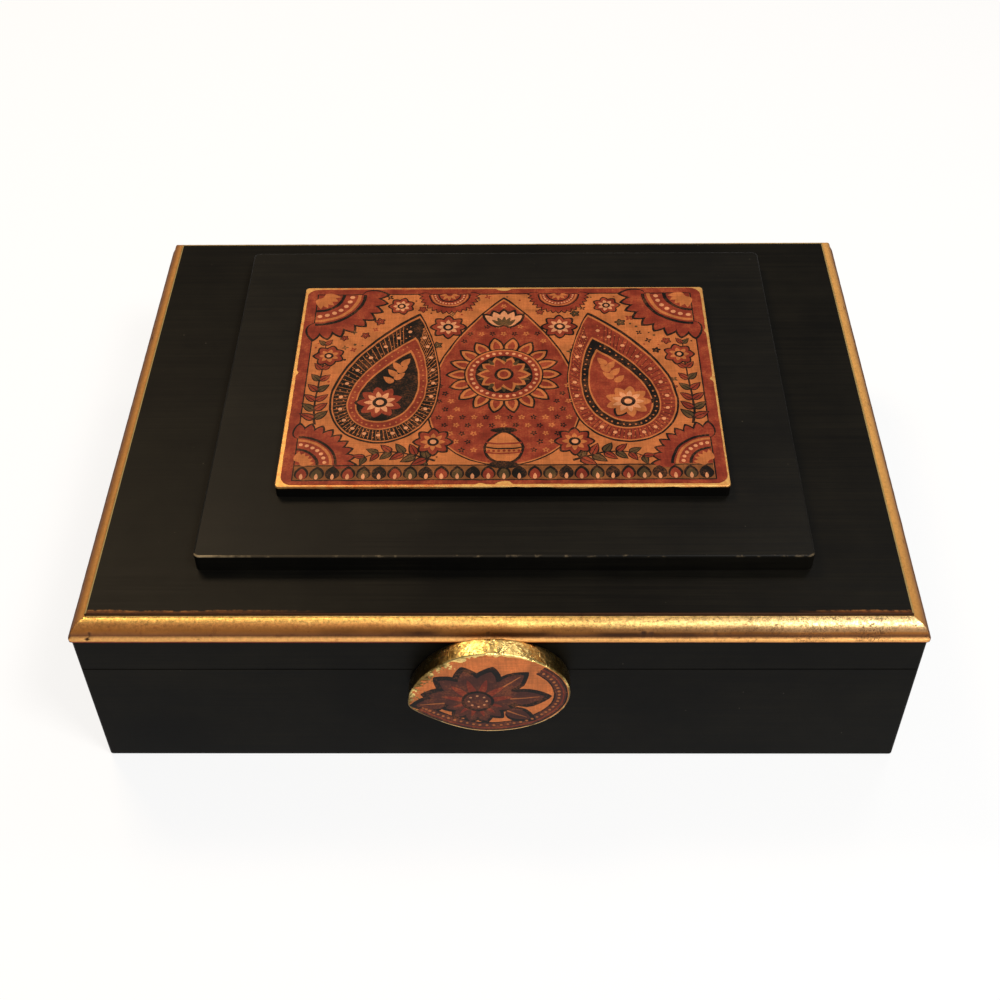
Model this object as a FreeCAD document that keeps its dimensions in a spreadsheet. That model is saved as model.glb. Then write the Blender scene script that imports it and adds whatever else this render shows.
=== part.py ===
import FreeCAD, Part

# A lidded keepsake box: a black lacquered case with a hinged lid, gilded mouldings round the lid, a raised
# panel with a printed plaque on top, and a gilded pebble-shaped pull at the front.
# The origin is the middle of the base's underside, +X to the right, +Y to the back and +Z up.
import math
import os

import Sketcher
from FreeCAD import Placement, Rotation, Vector

# Driving dimensions in millimetres, degrees where the meaning says so: alias, value, meaning.
SIZES = (
    ("box_width", 303, "width over the walls, left to right"),
    ("box_depth", 230, "depth over the walls, front to back"),
    ("base_height", 53.9, "height of the base's walls"),
    ("board_thick", 12, "thickness of the wall boards and the lid's rails"),
    ("rabbet_tongue", 4, "what is left of a front or back board outside a side board's end"),
    ("corner_ease", 1, "rounding of the box's upright corners"),
    ("foot_ease", 1.2, "rounding of the base's lower outer edges"),
    ("bottom_thick", 6, "thickness of the bottom panel"),
    ("bottom_seat", 6, "width of the rebate that holds the bottom panel"),
    ("parting_gap", 0.5, "gap between the base's rim and the closed lid"),
    ("rail_height", 16.1, "height of the lid's rails"),
    ("panel_thick", 8.3, "thickness of the lid's top panel"),
    ("moulding_overhang", 1, "how far the moulding's lip stands out over the walls"),
    ("moulding_fillet", 0.6, "flat of the moulding beside the top panel"),
    ("ovolo_radius", 5.2, "radius of the moulding's quarter round"),
    ("lip_width", 1.2, "width of the lip below the quarter round"),
    ("lip_height", 2, "height of the moulding's lip beside the quarter round"),
    ("lip_slope", 1.1, "how far the lip slopes down to its outer edge"),
    ("raised_width", 223.4, "width of the raised panel on the lid"),
    ("raised_depth", 181.7, "depth of the raised panel"),
    ("raised_thick", 7.6, "thickness of the raised panel"),
    ("raised_corner", 2.5, "radius of the raised panel's corners, seen from above"),
    ("raised_ease", 0.8, "rounding of the raised panel's top edge"),
    ("raised_shift_x", 1.9, "how far the raised panel lies to the right of the lid's middle"),
    ("raised_shift_y", 1.7, "how far the raised panel lies behind the lid's middle"),
    ("plaque_width", 168.9, "width of the plaque board"),
    ("plaque_depth", 119.7, "depth of the plaque board"),
    ("plaque_thick", 5.3, "thickness of the plaque board"),
    ("plaque_corner", 1.5, "radius of the plaque's corners, seen from above"),
    ("plaque_ease", 0.4, "rounding of the plaque's top edge"),
    ("plaque_shift_x", -0.5, "how far the plaque lies to the right of the raised panel's middle"),
    ("plaque_shift_y", -1.1, "how far the plaque lies behind the raised panel's middle"),
    ("print_thick", 0.25, "thickness of the printed papers"),
    ("print_margin", 1.1, "bare rim of the plaque round its print"),
    ("print_corner", 6, "radius of the plaque print's corners"),
    ("pull_width", 59.2, "long axis of the oval pull"),
    ("pull_height", 46, "short axis of the oval pull"),
    ("pull_thick", 8.6, "thickness of the pull"),
    ("pull_tilt", 6.5, "degrees that the oval's right end is lifted"),
    ("pull_shift_x", -3.5, "how far the pull sits to the right of the box's middle"),
    ("pull_rise", 3.3, "how far the pull's top stands above the lip's lower edge"),
    ("pull_lip_gap", 0.4, "gap between the moulding's lip and the notch in the pull's back"),
    ("pull_front_round", 1.2, "rounding of the pull's front edge"),
    ("pull_back_round", 2, "rounding of the pull's back edge"),
    ("pull_relief", 0.5, "clearance behind the pull where it hangs in front of the base"),
    ("pull_print_margin", 1.6, "bare rim of the pull's flat face round its print"),
    ("pull_screw_spacing", 24, "distance between the pull's two screws"),
    ("pull_screw_grip", 6, "how deep the screws reach into the pull"),
    ("pull_screw_radius", 1.5, "radius of the pull screws' shanks"),
    ("pull_screw_head", 3, "radius of the pull screws' heads"),
    ("floor_lining_thick", 1.5, "thickness of the felt on the base's floor"),
    ("lid_lining_thick", 1.2, "thickness of the felt inside the lid"),
    ("lining_clear", 0.5, "gap between the felts' edges and the walls"),
    ("hinge_length", 40, "length of a hinge along its pin"),
    ("hinge_inset", 56.5, "distance of a hinge's middle from the side of the box"),
    ("hinge_knuckles", 5, "number of knuckles on a hinge, odd, the outer ones on the base"),
    ("pivot_inset", 3, "distance of the hinge axis from the back of the box"),
    ("lid_opening", 100, "degrees that the bevelled back edges let the lid open"),
    ("leaf_thick", 1.2, "thickness of a hinge leaf"),
    ("leaf_shoulder", 1, "wood left between a leaf and the inner face of its board"),
    ("knuckle_radius", 2.4, "outer radius of the hinge knuckles"),
    ("knuckle_gap", 0.25, "gap between a knuckle and the other leaf"),
    ("barrel_clear", 0.4, "gap between the knuckles and the groove in the wood"),
    ("pin_radius", 1.2, "radius of the hinge pins"),
    ("pin_clear", 0.05, "running clearance of a pin in its knuckles"),
    ("pin_dome", 0.5, "rounding of a pin's ends"),
    ("hinge_screw_spacing", 24, "distance between the two screws of a leaf"),
    ("hinge_screw_length", 9, "length of the hinge screws"),
    ("hinge_screw_radius", 1, "radius of the hinge screws' shanks"),
    ("hinge_screw_head", 1.9, "radius of the hinge screws' heads"),
    ("slot_width", 0.6, "width of the screws' slots"),
    ("slot_depth", 0.5, "depth of the screws' slots"),
    ("fit_clear", 0.05, "clearance of screws and leaves in their holes and recesses"),
)

# Sizes that follow from the driving ones, as expressions.
MOULDING_WIDTH = "(dims.moulding_fillet + dims.ovolo_radius + dims.lip_width)"
LID_WIDTH = "(dims.box_width + 2 * dims.moulding_overhang)"
LID_DEPTH = "(dims.box_depth + 2 * dims.moulding_overhang)"
PANEL_WIDTH = f"({LID_WIDTH} - 2 * {MOULDING_WIDTH})"
PANEL_DEPTH = f"({LID_DEPTH} - 2 * {MOULDING_WIDTH})"
INNER_WIDTH = "(dims.box_width - 2 * dims.board_thick)"
INNER_DEPTH = "(dims.box_depth - 2 * dims.board_thick)"
SIDE_LENGTH = "(dims.box_depth - 2 * dims.rabbet_tongue)"
RAIL_BOTTOM = "(dims.base_height + dims.parting_gap)"
RAIL_TOP = f"({RAIL_BOTTOM} + dims.rail_height)"
PANEL_TOP = f"({RAIL_TOP} + dims.panel_thick)"
RAISED_TOP = f"({PANEL_TOP} + dims.raised_thick)"
PLAQUE_TOP = f"({RAISED_TOP} + dims.plaque_thick)"
PLAQUE_X = "(dims.raised_shift_x + dims.plaque_shift_x)"
PLAQUE_Y = "(dims.raised_shift_y + dims.plaque_shift_y)"
PULL_BELOW_LIP = "(dims.pull_height / 2 - dims.pull_rise)"
PULL_SCREW_LENGTH = "(dims.board_thick + dims.pull_screw_grip)"
AXIS_Y = "(dims.box_depth / 2 - dims.pivot_inset)"
AXIS_Z = "(dims.base_height + dims.parting_gap / 2)"
AXIS_IN_BOARD = "(dims.board_thick - dims.pivot_inset)"
BEVEL_RISE = "(dims.pivot_inset * tan(dims.lid_opening / 2))"
LEAF_REACH = f"({AXIS_IN_BOARD} - dims.leaf_shoulder)"
LEAF_SCREW_ROW = f"((dims.knuckle_radius + {LEAF_REACH}) / 2)"
KNUCKLE_LENGTH = "(dims.hinge_length / dims.hinge_knuckles)"
HINGE_X = "(dims.box_width / 2 - dims.hinge_inset)"

# Signs of the pairs that lie left and right of a middle line.
SIDES = {"left": -1, "right": 1}
TOLERANCE = 1e-4

doc = FreeCAD.newDocument("keepsake_box")
sheet = doc.addObject("Spreadsheet::Sheet", "dims")
for row, (alias, size, meaning) in enumerate(SIZES, 1):
    sheet.set(f"A{row}", alias)
    sheet.set(f"B{row}", str(size))
    sheet.set(f"C{row}", meaning)
    sheet.setAlias(f"B{row}", alias)
doc.recompute()

subparts = []


def value(expression):
    """The number that an expression has now."""
    return float(sheet.evalExpression(expression))


def new_body(name):
    """An empty body."""
    body = doc.addObject("PartDesign::Body", name)
    body.Label = name
    return body


def place(piece, x="0", y="0", z="0", rotation=None):
    """Bind a piece's place to expressions, with a fixed rotation."""
    piece.Placement = Placement(Vector(), rotation or Rotation())
    for axis, expression in zip("xyz", (x, y, z)):
        piece.setExpression(f"Placement.Base.{axis}", expression)


def keep(piece):
    """Count a piece among the sub-parts that are written."""
    subparts.append(piece)
    return piece


def new_sketch(body, name, plane, offset=("0", "0", "0")):
    """A sketch on one of the body's own planes, moved by an offset in that plane's axes."""
    sketch = body.newObject("Sketcher::SketchObject", name)
    support = next(item for item in body.Origin.OriginFeatures if item.Role == plane)
    sketch.AttachmentSupport = [(support, "")]
    sketch.MapMode = "FlatFace"
    for axis, expression in zip("xyz", offset):
        if expression != "0":
            sketch.setExpression(f"AttachmentOffset.Base.{axis}", expression)
    return sketch


def bind(sketch, constraint, expression):
    """Add a constraint whose value follows an expression."""
    index = sketch.addConstraint(constraint)
    sketch.setExpression(f"Constraints[{index}]", expression)


def fix_point(sketch, geometry, position, x, y):
    """Tie a point of a sketch to a place given by two expressions."""
    for kind, expression, own_axis in (("DistanceX", x, -2), ("DistanceY", y, -1)):
        if expression == "0":
            sketch.addConstraint(Sketcher.Constraint("PointOnObject", geometry, position, own_axis))
        else:
            distance = value(expression)
            bind(sketch, Sketcher.Constraint(kind, -1, 1, geometry, position, distance), expression)


def arc_between(start, end, radius):
    """The short arc that runs counter-clockwise from start to end."""
    chord = end - start
    reach = math.sqrt(max(radius ** 2 - (chord.Length / 2) ** 2, 0))
    left = Vector(-chord.y, chord.x, 0).normalize()
    centre = (start + end) / 2 + left * reach
    angles = [math.atan2(point.y - centre.y, point.x - centre.x) for point in (start, end)]
    if angles[1] < angles[0]:
        angles[1] += 2 * math.pi
    return Part.ArcOfCircle(Part.Circle(centre, Vector(0, 0, 1), radius), *angles)


def outline(sketch, corners, rounds=None):
    """A closed counter-clockwise line through the corners; rounds gives the radius of the stretches
    that are arcs, by the number of the corner where each starts."""
    rounds = rounds or {}
    first = sketch.GeometryCount
    points = [Vector(value(x), value(y), 0) for x, y in corners]
    following = points[1:] + points[:1]
    for index, (start, end) in enumerate(zip(points, following)):
        if index in rounds:
            sketch.addGeometry(arc_between(start, end, value(rounds[index])))
        else:
            sketch.addGeometry(Part.LineSegment(start, end))
    for index, (x, y) in enumerate(corners):
        after = first + (index + 1) % len(corners)
        sketch.addConstraint(Sketcher.Constraint("Coincident", first + index, 2, after, 1))
        fix_point(sketch, first + index, 1, x, y)
    for index, radius in rounds.items():
        bind(sketch, Sketcher.Constraint("Radius", first + index, value(radius)), radius)


def rectangle(sketch, left, low, right, high):
    """A rectangle between four expressions."""
    outline(sketch, [(left, low), (right, low), (right, high), (left, high)])


def rounded_rectangle(sketch, width, depth, radius):
    """A rectangle round the sketch's origin, with quarter rounds at its corners."""
    far_x = f"{width} / 2"
    far_y = f"{depth} / 2"
    near_x = f"({width} / 2 - {radius})"
    near_y = f"({depth} / 2 - {radius})"
    corners = [
        (f"-{near_x}", f"-{far_y}"), (near_x, f"-{far_y}"),
        (far_x, f"-{near_y}"), (far_x, near_y),
        (near_x, far_y), (f"-{near_x}", far_y),
        (f"-{far_x}", near_y), (f"-{far_x}", f"-{near_y}"),
    ]
    outline(sketch, corners, {corner: radius for corner in (1, 3, 5, 7)})


def circle(sketch, radius, x="0", y="0"):
    """A circle at a place given by expressions."""
    centre = Vector(value(x), value(y), 0)
    ring = sketch.addGeometry(Part.Circle(centre, Vector(0, 0, 1), value(radius)))
    fix_point(sketch, ring, 3, x, y)
    bind(sketch, Sketcher.Constraint("Radius", ring, value(radius)), radius)


def oval(sketch, width, height):
    """An ellipse round the sketch's origin, its long axis lifted by the pull's tilt."""
    tilt = math.radians(value("dims.pull_tilt"))
    along = Vector(math.cos(tilt), math.sin(tilt), 0) * (value(width) / 2)
    across = Vector(-math.sin(tilt), math.cos(tilt), 0) * (value(height) / 2)
    ring = sketch.addGeometry(Part.Ellipse(along, across, Vector()))
    sketch.exposeInternalGeometry(ring)
    long_axis = ring + 1
    short_axis = ring + 2
    sketch.addConstraint(Sketcher.Constraint("Coincident", ring, 3, -1, 1))
    bind(sketch, Sketcher.Constraint("Distance", long_axis, value(width)), width)
    bind(sketch, Sketcher.Constraint("Distance", short_axis, value(height)), height)
    bind(sketch, Sketcher.Constraint("Angle", long_axis, tilt), "dims.pull_tilt * 1 deg")


def pad(body, sketch, length, flip=False):
    """A prism on a sketch, along the plane's normal or, flipped, against it."""
    solid = body.newObject("PartDesign::Pad", "Pad")
    solid.Profile = sketch
    solid.Reversed = flip
    solid.setExpression("Length", length)


def pocket(body, sketch, depth, flip=False):
    """A cut from a sketch, against the plane's normal or, flipped, along it."""
    cut = body.newObject("PartDesign::Pocket", "Pocket")
    cut.Profile = sketch
    cut.Reversed = flip
    cut.setExpression("Length", depth)


def round_edges(body, radius, wanted):
    """Round the edges of the body for which wanted is true."""
    doc.recompute()
    solid = body.Tip
    names = [f"Edge{number}" for number, edge in enumerate(solid.Shape.Edges, 1) if wanted(edge.BoundBox)]
    fillet = body.newObject("PartDesign::Fillet", "Fillet")
    fillet.Base = (solid, names)
    fillet.setExpression("Radius", radius)


def screw_profile(sketch, length, shank, head, clear="0", sense="-"):
    """Half the section of a countersunk screw beside the sketch's upright axis, its head's top at the
    origin, pointing down, or up where sense is +; clear widens and deepens it into a hole."""
    head_end = f"{sense}({head} - {shank})"
    taper_start = f"{sense}({length} - 2 * {shank})"
    corners = [
        ("0", "0"),
        ("0", f"{sense}({length} + {clear})"),
        (f"{shank} + {clear}", taper_start),
        (f"{shank} + {clear}", head_end),
        (f"{head} + {clear}", "0"),
    ]
    outline(sketch, corners)


def screw_hole(body, plane, offset, length, shank, head, sense="-"):
    """A countersunk hole that fits a screw with clearance."""
    sketch = new_sketch(body, "ScrewHole", plane, offset)
    screw_profile(sketch, length, shank, head, "dims.fit_clear", sense)
    cut = body.newObject("PartDesign::Groove", "Groove")
    cut.Profile = sketch
    cut.ReferenceAxis = (sketch, ["V_Axis"])
    cut.Angle = 360


def screw(name, length, shank, head):
    """A slotted countersunk wood screw that points down from its head's top."""
    body = new_body(name)
    section = new_sketch(body, "Section", "XZ_Plane")
    screw_profile(section, length, shank, head)
    turned = body.newObject("PartDesign::Revolution", "Revolution")
    turned.Profile = section
    turned.ReferenceAxis = (section, ["V_Axis"])
    turned.Angle = 360
    slot = new_sketch(body, "Slot", "XY_Plane")
    rectangle(slot, f"-{head}", "-dims.slot_width / 2", head, "dims.slot_width / 2")
    pocket(body, slot, "dims.slot_depth")
    return body


def group(name, pieces):
    """Several like pieces in one node."""
    compound = doc.addObject("Part::Compound", name)
    compound.Label = name
    compound.Links = pieces
    return keep(compound)


def long_board(name, height, level, back):
    """A front or back board, rabbeted at both ends for the side boards."""
    body = new_body(name)
    ease = "dims.corner_ease"
    far = "dims.box_width"
    corners = [
        (ease, "0"), (f"{far} - {ease}", "0"), (far, ease), (far, "dims.rabbet_tongue"),
        (f"{far} - dims.board_thick", "dims.rabbet_tongue"), (f"{far} - dims.board_thick", "dims.board_thick"),
        ("dims.board_thick", "dims.board_thick"), ("dims.board_thick", "dims.rabbet_tongue"),
        ("0", "dims.rabbet_tongue"), ("0", ease),
    ]
    rounds = {1: ease, 9: ease}
    if back:
        corners = [(x, f"dims.board_thick - ({y})") for x, y in reversed(corners)]
        rounds = {7: ease, 9: ease}
    plan = new_sketch(body, "Plan", "XY_Plane")
    outline(plan, corners, rounds)
    pad(body, plan, height)
    across = "dims.box_depth / 2 - dims.board_thick" if back else "-dims.box_depth / 2"
    place(body, "-dims.box_width / 2", across, level)
    return keep(body)


def side_board(name, height, level, side):
    """A left or right board between the rabbets of the long boards."""
    body = new_body(name)
    plan = new_sketch(body, "Plan", "XY_Plane")
    rectangle(plan, "0", "0", "dims.board_thick", SIDE_LENGTH)
    pad(body, plan, height)
    along = "dims.box_width / 2 - dims.board_thick" if side == "right" else "-dims.box_width / 2"
    place(body, along, "-dims.box_depth / 2 + dims.rabbet_tongue", level)
    return keep(body)


def bottom_rebate(body, left, low, right, high):
    """The rebate at a base board's lower inner edge, which holds the bottom panel."""
    sketch = new_sketch(body, "Rebate", "XY_Plane")
    rectangle(sketch, left, low, right, high)
    pocket(body, sketch, "dims.bottom_thick", flip=True)


def ease_foot(body, outer):
    """Round the lower outer edges of a base board; outer tells them from their bounds."""
    round_edges(body, "dims.foot_ease", lambda bounds: bounds.ZMax < TOLERANCE and outer(bounds))


def stop_bevel(body, corners):
    """Bevel a back edge along the whole box, so that the open lid comes to rest on the base."""
    sketch = new_sketch(body, "StopBevel", "YZ_Plane")
    outline(sketch, corners)
    pocket(body, sketch, "dims.box_width", flip=True)


def hinge_recesses(body, rim, axis_height, upwards):
    """For both hinges, the recess of a leaf, the groove of the barrel and the screws' holes in a back
    board; rim is the height of the recessed edge in the board."""
    for sign in SIDES.values():
        middle = f"(dims.box_width / 2 + {sign} * {HINGE_X})"
        half = "(dims.hinge_length / 2 + dims.fit_clear)"
        recess = new_sketch(body, "LeafRecess", "XY_Plane", ("0", "0", rim))
        rectangle(recess, f"{middle} - {half}", f"{AXIS_IN_BOARD} - {LEAF_REACH} - dims.fit_clear",
                  f"{middle} + {half}", AXIS_IN_BOARD)
        pocket(body, recess, "dims.leaf_thick", flip=upwards)
        room = "(dims.hinge_length / 2 + dims.barrel_clear)"
        groove = new_sketch(body, "BarrelGroove", "YZ_Plane", ("0", "0", f"{middle} - {room}"))
        circle(groove, "dims.knuckle_radius + dims.barrel_clear", AXIS_IN_BOARD, axis_height)
        pocket(body, groove, f"2 * {room}", flip=True)
        for step in SIDES.values():
            along = f"{middle} + {step} * dims.hinge_screw_spacing / 2"
            across = f"{LEAF_SCREW_ROW} - {AXIS_IN_BOARD}"
            screw_hole(body, "XZ_Plane", (along, rim, across), "dims.hinge_screw_length",
                       "dims.hinge_screw_radius", "dims.hinge_screw_head", "+" if upwards else "-")


def make_base():
    """The base: four rabbeted boards round a bottom panel, with felt on the floor."""
    inner = "dims.board_thick - dims.bottom_seat"
    panel_end = f"dims.box_width - ({inner})"
    front = long_board("base_front_board", "dims.base_height", "0", back=False)
    bottom_rebate(front, inner, inner, panel_end, "dims.board_thick")
    ease_foot(front, lambda bounds: bounds.YMax < value("dims.rabbet_tongue") - TOLERANCE)

    back = long_board("base_back_board", "dims.base_height", "0", back=True)
    bottom_rebate(back, inner, "0", panel_end, "dims.bottom_seat")
    back_face = value("dims.board_thick - dims.rabbet_tongue")
    ease_foot(back, lambda bounds: bounds.YMin > back_face + TOLERANCE)
    stop_bevel(back, [
        (AXIS_IN_BOARD, "dims.base_height"),
        ("dims.board_thick", f"dims.base_height - {BEVEL_RISE}"),
        ("dims.board_thick", "dims.base_height"),
    ])
    hinge_recesses(back, "dims.base_height", "dims.base_height + dims.parting_gap / 2", upwards=False)

    panel_start = f"{inner} - dims.rabbet_tongue"
    for side in SIDES:
        board = side_board(f"base_{side}_board", "dims.base_height", "0", side)
        near = "0" if side == "right" else inner
        far = "dims.bottom_seat" if side == "right" else "dims.board_thick"
        bottom_rebate(board, near, panel_start, far, f"{SIDE_LENGTH} - ({panel_start})")
        outer = value("dims.board_thick") if side == "right" else 0
        ease_foot(board, lambda bounds: max(abs(bounds.XMin - outer), abs(bounds.XMax - outer)) < TOLERANCE)

    panel = keep(new_body("base_bottom_panel"))
    plan = new_sketch(panel, "Plan", "XY_Plane")
    half_width = f"({INNER_WIDTH} / 2 + dims.bottom_seat)"
    half_depth = f"({INNER_DEPTH} / 2 + dims.bottom_seat)"
    rectangle(plan, f"-{half_width}", f"-{half_depth}", half_width, half_depth)
    pad(panel, plan, "dims.bottom_thick")
    place(panel)
    lining("base_floor_lining", "dims.floor_lining_thick", "dims.bottom_thick")


def lining(name, thickness, level):
    """A felt that fills the space between the walls, short of them by a small gap."""
    body = keep(new_body(name))
    plan = new_sketch(body, "Plan", "XY_Plane")
    half_width = f"({INNER_WIDTH} / 2 - dims.lining_clear)"
    half_depth = f"({INNER_DEPTH} / 2 - dims.lining_clear)"
    rectangle(plan, f"-{half_width}", f"-{half_depth}", half_width, half_depth)
    pad(body, plan, thickness)
    place(body, z=level)


def make_lid():
    """The lid: four rabbeted rails, the top panel on them and felt inside."""
    front = long_board("lid_front_rail", "dims.rail_height", RAIL_BOTTOM, back=False)
    for step in SIDES.values():
        along = f"dims.box_width / 2 + dims.pull_shift_x + {step} * dims.pull_screw_spacing / 2"
        screw_hole(front, "XY_Plane", (along, "dims.board_thick", "dims.rail_height / 2"), PULL_SCREW_LENGTH,
                   "dims.pull_screw_radius", "dims.pull_screw_head")

    back = long_board("lid_back_rail", "dims.rail_height", RAIL_BOTTOM, back=True)
    stop_bevel(back, [
        (AXIS_IN_BOARD, "0"),
        ("dims.board_thick", "0"),
        ("dims.board_thick", BEVEL_RISE),
    ])
    hinge_recesses(back, "0", "-dims.parting_gap / 2", upwards=True)

    for side in SIDES:
        side_board(f"lid_{side}_rail", "dims.rail_height", RAIL_BOTTOM, side)

    panel = keep(new_body("lid_top_panel"))
    plan = new_sketch(panel, "Plan", "XY_Plane")
    rectangle(plan, f"-{PANEL_WIDTH} / 2", f"-{PANEL_DEPTH} / 2", f"{PANEL_WIDTH} / 2", f"{PANEL_DEPTH} / 2")
    pad(panel, plan, "dims.panel_thick")
    place(panel, z=RAIL_TOP)
    lining("lid_lining", "dims.lid_lining_thick", f"{RAIL_TOP} - dims.lid_lining_thick")


def moulding(name, length, x, y, turn):
    """A mitred strip of moulding: sloping lip, quarter round, and a flat up to the top panel's edge."""
    body = keep(new_body(name))
    inner_flat = f"({MOULDING_WIDTH} - dims.moulding_fillet)"
    corners = [
        ("0", "0"), (MOULDING_WIDTH, "0"), (MOULDING_WIDTH, "dims.panel_thick"),
        (inner_flat, "dims.panel_thick"), (inner_flat, "dims.lip_height + dims.ovolo_radius"),
        ("dims.lip_width", "dims.lip_height"), ("0", "dims.lip_height - dims.lip_slope"),
    ]
    profile = new_sketch(body, "Profile", "YZ_Plane")
    outline(profile, corners, {4: "dims.ovolo_radius"})
    pad(body, profile, length)
    mitres = new_sketch(body, "Mitres", "XY_Plane")
    outline(mitres, [("0", "0"), (MOULDING_WIDTH, MOULDING_WIDTH), ("0", MOULDING_WIDTH)])
    outline(mitres, [
        (length, "0"), (length, MOULDING_WIDTH), (f"{length} - {MOULDING_WIDTH}", MOULDING_WIDTH),
    ])
    pocket(body, mitres, "dims.panel_thick", flip=True)
    place(body, x, y, RAIL_TOP, Rotation(Vector(0, 0, 1), turn))


def make_mouldings():
    """The four mouldings round the top panel."""
    left = f"-{LID_WIDTH} / 2"
    right = f"{LID_WIDTH} / 2"
    front = f"-{LID_DEPTH} / 2"
    back = f"{LID_DEPTH} / 2"
    moulding("moulding_front", LID_WIDTH, left, front, 0)
    moulding("moulding_right", LID_DEPTH, right, front, 90)
    moulding("moulding_back", LID_WIDTH, right, back, 180)
    moulding("moulding_left", LID_DEPTH, left, back, -90)


def slab(name, width, depth, thickness, corner, ease=None):
    """A flat board or sheet with rounded corners, its top edge rounded where ease is given."""
    body = keep(new_body(name))
    plan = new_sketch(body, "Plan", "XY_Plane")
    rounded_rectangle(plan, width, depth, corner)
    pad(body, plan, thickness)
    if ease:
        top = value(thickness)
        round_edges(body, ease, lambda bounds: bounds.ZMin > top - TOLERANCE)
    return body


def make_top():
    """The raised panel, the plaque on it and the print on the plaque."""
    raised = slab("raised_panel", "dims.raised_width", "dims.raised_depth", "dims.raised_thick",
                  "dims.raised_corner", "dims.raised_ease")
    place(raised, "dims.raised_shift_x", "dims.raised_shift_y", PANEL_TOP)
    plaque = slab("plaque_board", "dims.plaque_width", "dims.plaque_depth", "dims.plaque_thick",
                  "dims.plaque_corner", "dims.plaque_ease")
    place(plaque, PLAQUE_X, PLAQUE_Y, RAISED_TOP)
    paper = slab("plaque_print", "(dims.plaque_width - 2 * dims.print_margin)",
                 "(dims.plaque_depth - 2 * dims.print_margin)", "dims.print_thick", "dims.print_corner")
    place(paper, PLAQUE_X, PLAQUE_Y, PLAQUE_TOP)


def make_pull():
    """The oval pull on the lid's front rail, its print, and the two screws that hold it from inside."""
    body = keep(new_body("pull_body"))
    face = new_sketch(body, "Face", "XZ_Plane")
    oval(face, "dims.pull_width", "dims.pull_height")
    pad(body, face, "dims.pull_thick")
    front = -value("dims.pull_thick")
    round_edges(body, "dims.pull_front_round", lambda bounds: bounds.YMax < front + TOLERANCE)
    round_edges(body, "dims.pull_back_round", lambda bounds: bounds.YMin > -TOLERANCE)
    seat_low = f"({PULL_BELOW_LIP} - dims.rail_height)"
    relief = new_sketch(body, "Relief", "XZ_Plane")
    rectangle(relief, "-dims.pull_width", "-dims.pull_height", "dims.pull_width", seat_low)
    pocket(body, relief, "dims.pull_relief", flip=True)
    notch = new_sketch(body, "LipNotch", "XZ_Plane")
    notch_low = f"{PULL_BELOW_LIP} - dims.pull_lip_gap"
    rectangle(notch, "-dims.pull_width", notch_low, "dims.pull_width", "dims.pull_height")
    pocket(body, notch, "dims.moulding_overhang + dims.pull_lip_gap", flip=True)
    screw_level = f"({PULL_BELOW_LIP} - dims.rail_height / 2)"
    sizes = (PULL_SCREW_LENGTH, "dims.pull_screw_radius", "dims.pull_screw_head")
    screws = []
    for side, step in SIDES.items():
        along = f"{step} * dims.pull_screw_spacing / 2"
        screw_hole(body, "XY_Plane", (along, "dims.board_thick", screw_level), *sizes)
        fixing = screw(f"pull_screw_{side}", *sizes)
        place(fixing, f"dims.pull_shift_x + {along}", "dims.board_thick - dims.box_depth / 2",
              f"{RAIL_TOP} - dims.rail_height / 2", Rotation(Vector(1, 0, 0), -90))
        screws.append(fixing)
    centre = f"{RAIL_TOP} - {PULL_BELOW_LIP}"
    place(body, "dims.pull_shift_x", "-dims.box_depth / 2", centre)

    paper = keep(new_body("pull_print"))
    sheet_face = new_sketch(paper, "Face", "XZ_Plane")
    margin = "2 * (dims.pull_front_round + dims.pull_print_margin)"
    oval(sheet_face, f"(dims.pull_width - {margin})", f"(dims.pull_height - {margin})")
    pad(paper, sheet_face, "dims.print_thick")
    place(paper, "dims.pull_shift_x", "-dims.box_depth / 2 - dims.pull_thick", centre)
    group("pull_screws", screws)


def hinge_leaf(name, side, lid):
    """One leaf of a hinge round the hinge's axis: a plate, its knuckles and two countersunk holes."""
    body = keep(new_body(name))
    face = "dims.parting_gap / 2" if lid else "-dims.parting_gap / 2"
    half = "dims.hinge_length / 2"
    plate = new_sketch(body, "Plate", "XY_Plane", ("0", "0", face))
    rectangle(plate, f"-{half}", f"-{LEAF_REACH}", half, "0")
    pad(body, plate, "dims.leaf_thick", flip=not lid)
    barrel = new_sketch(body, "Barrel", "YZ_Plane", ("0", "0", f"-{half}"))
    circle(barrel, "dims.knuckle_radius")
    pad(body, barrel, "dims.hinge_length")
    bore = new_sketch(body, "Bore", "YZ_Plane", ("0", "0", f"-{half}"))
    circle(bore, "dims.pin_radius + dims.pin_clear")
    pocket(body, bore, "dims.hinge_length", flip=True)
    for knuckle in range(0 if lid else 1, int(value("dims.hinge_knuckles")), 2):
        start = f"{knuckle} * {KNUCKLE_LENGTH} - {half} - dims.knuckle_gap / 2"
        gap = new_sketch(body, "KnuckleGap", "YZ_Plane", ("0", "0", start))
        circle(gap, "dims.knuckle_radius + dims.knuckle_gap")
        pocket(body, gap, f"{KNUCKLE_LENGTH} + dims.knuckle_gap", flip=True)
    for step in SIDES.values():
        along = f"{step} * dims.hinge_screw_spacing / 2"
        screw_hole(body, "XZ_Plane", (along, face, LEAF_SCREW_ROW), "dims.hinge_screw_length",
                   "dims.hinge_screw_radius", "dims.hinge_screw_head", "+" if lid else "-")
    place(body, f"{SIDES[side]} * {HINGE_X}", AXIS_Y, AXIS_Z)


def hinge_pin(name, side):
    """A hinge's pin, with rounded ends."""
    body = keep(new_body(name))
    section = new_sketch(body, "Section", "YZ_Plane", ("0", "0", "-dims.hinge_length / 2"))
    circle(section, "dims.pin_radius")
    pad(body, section, "dims.hinge_length")
    round_edges(body, "dims.pin_dome", lambda bounds: bounds.XLength < TOLERANCE)
    place(body, f"{SIDES[side]} * {HINGE_X}", AXIS_Y, AXIS_Z)


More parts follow.
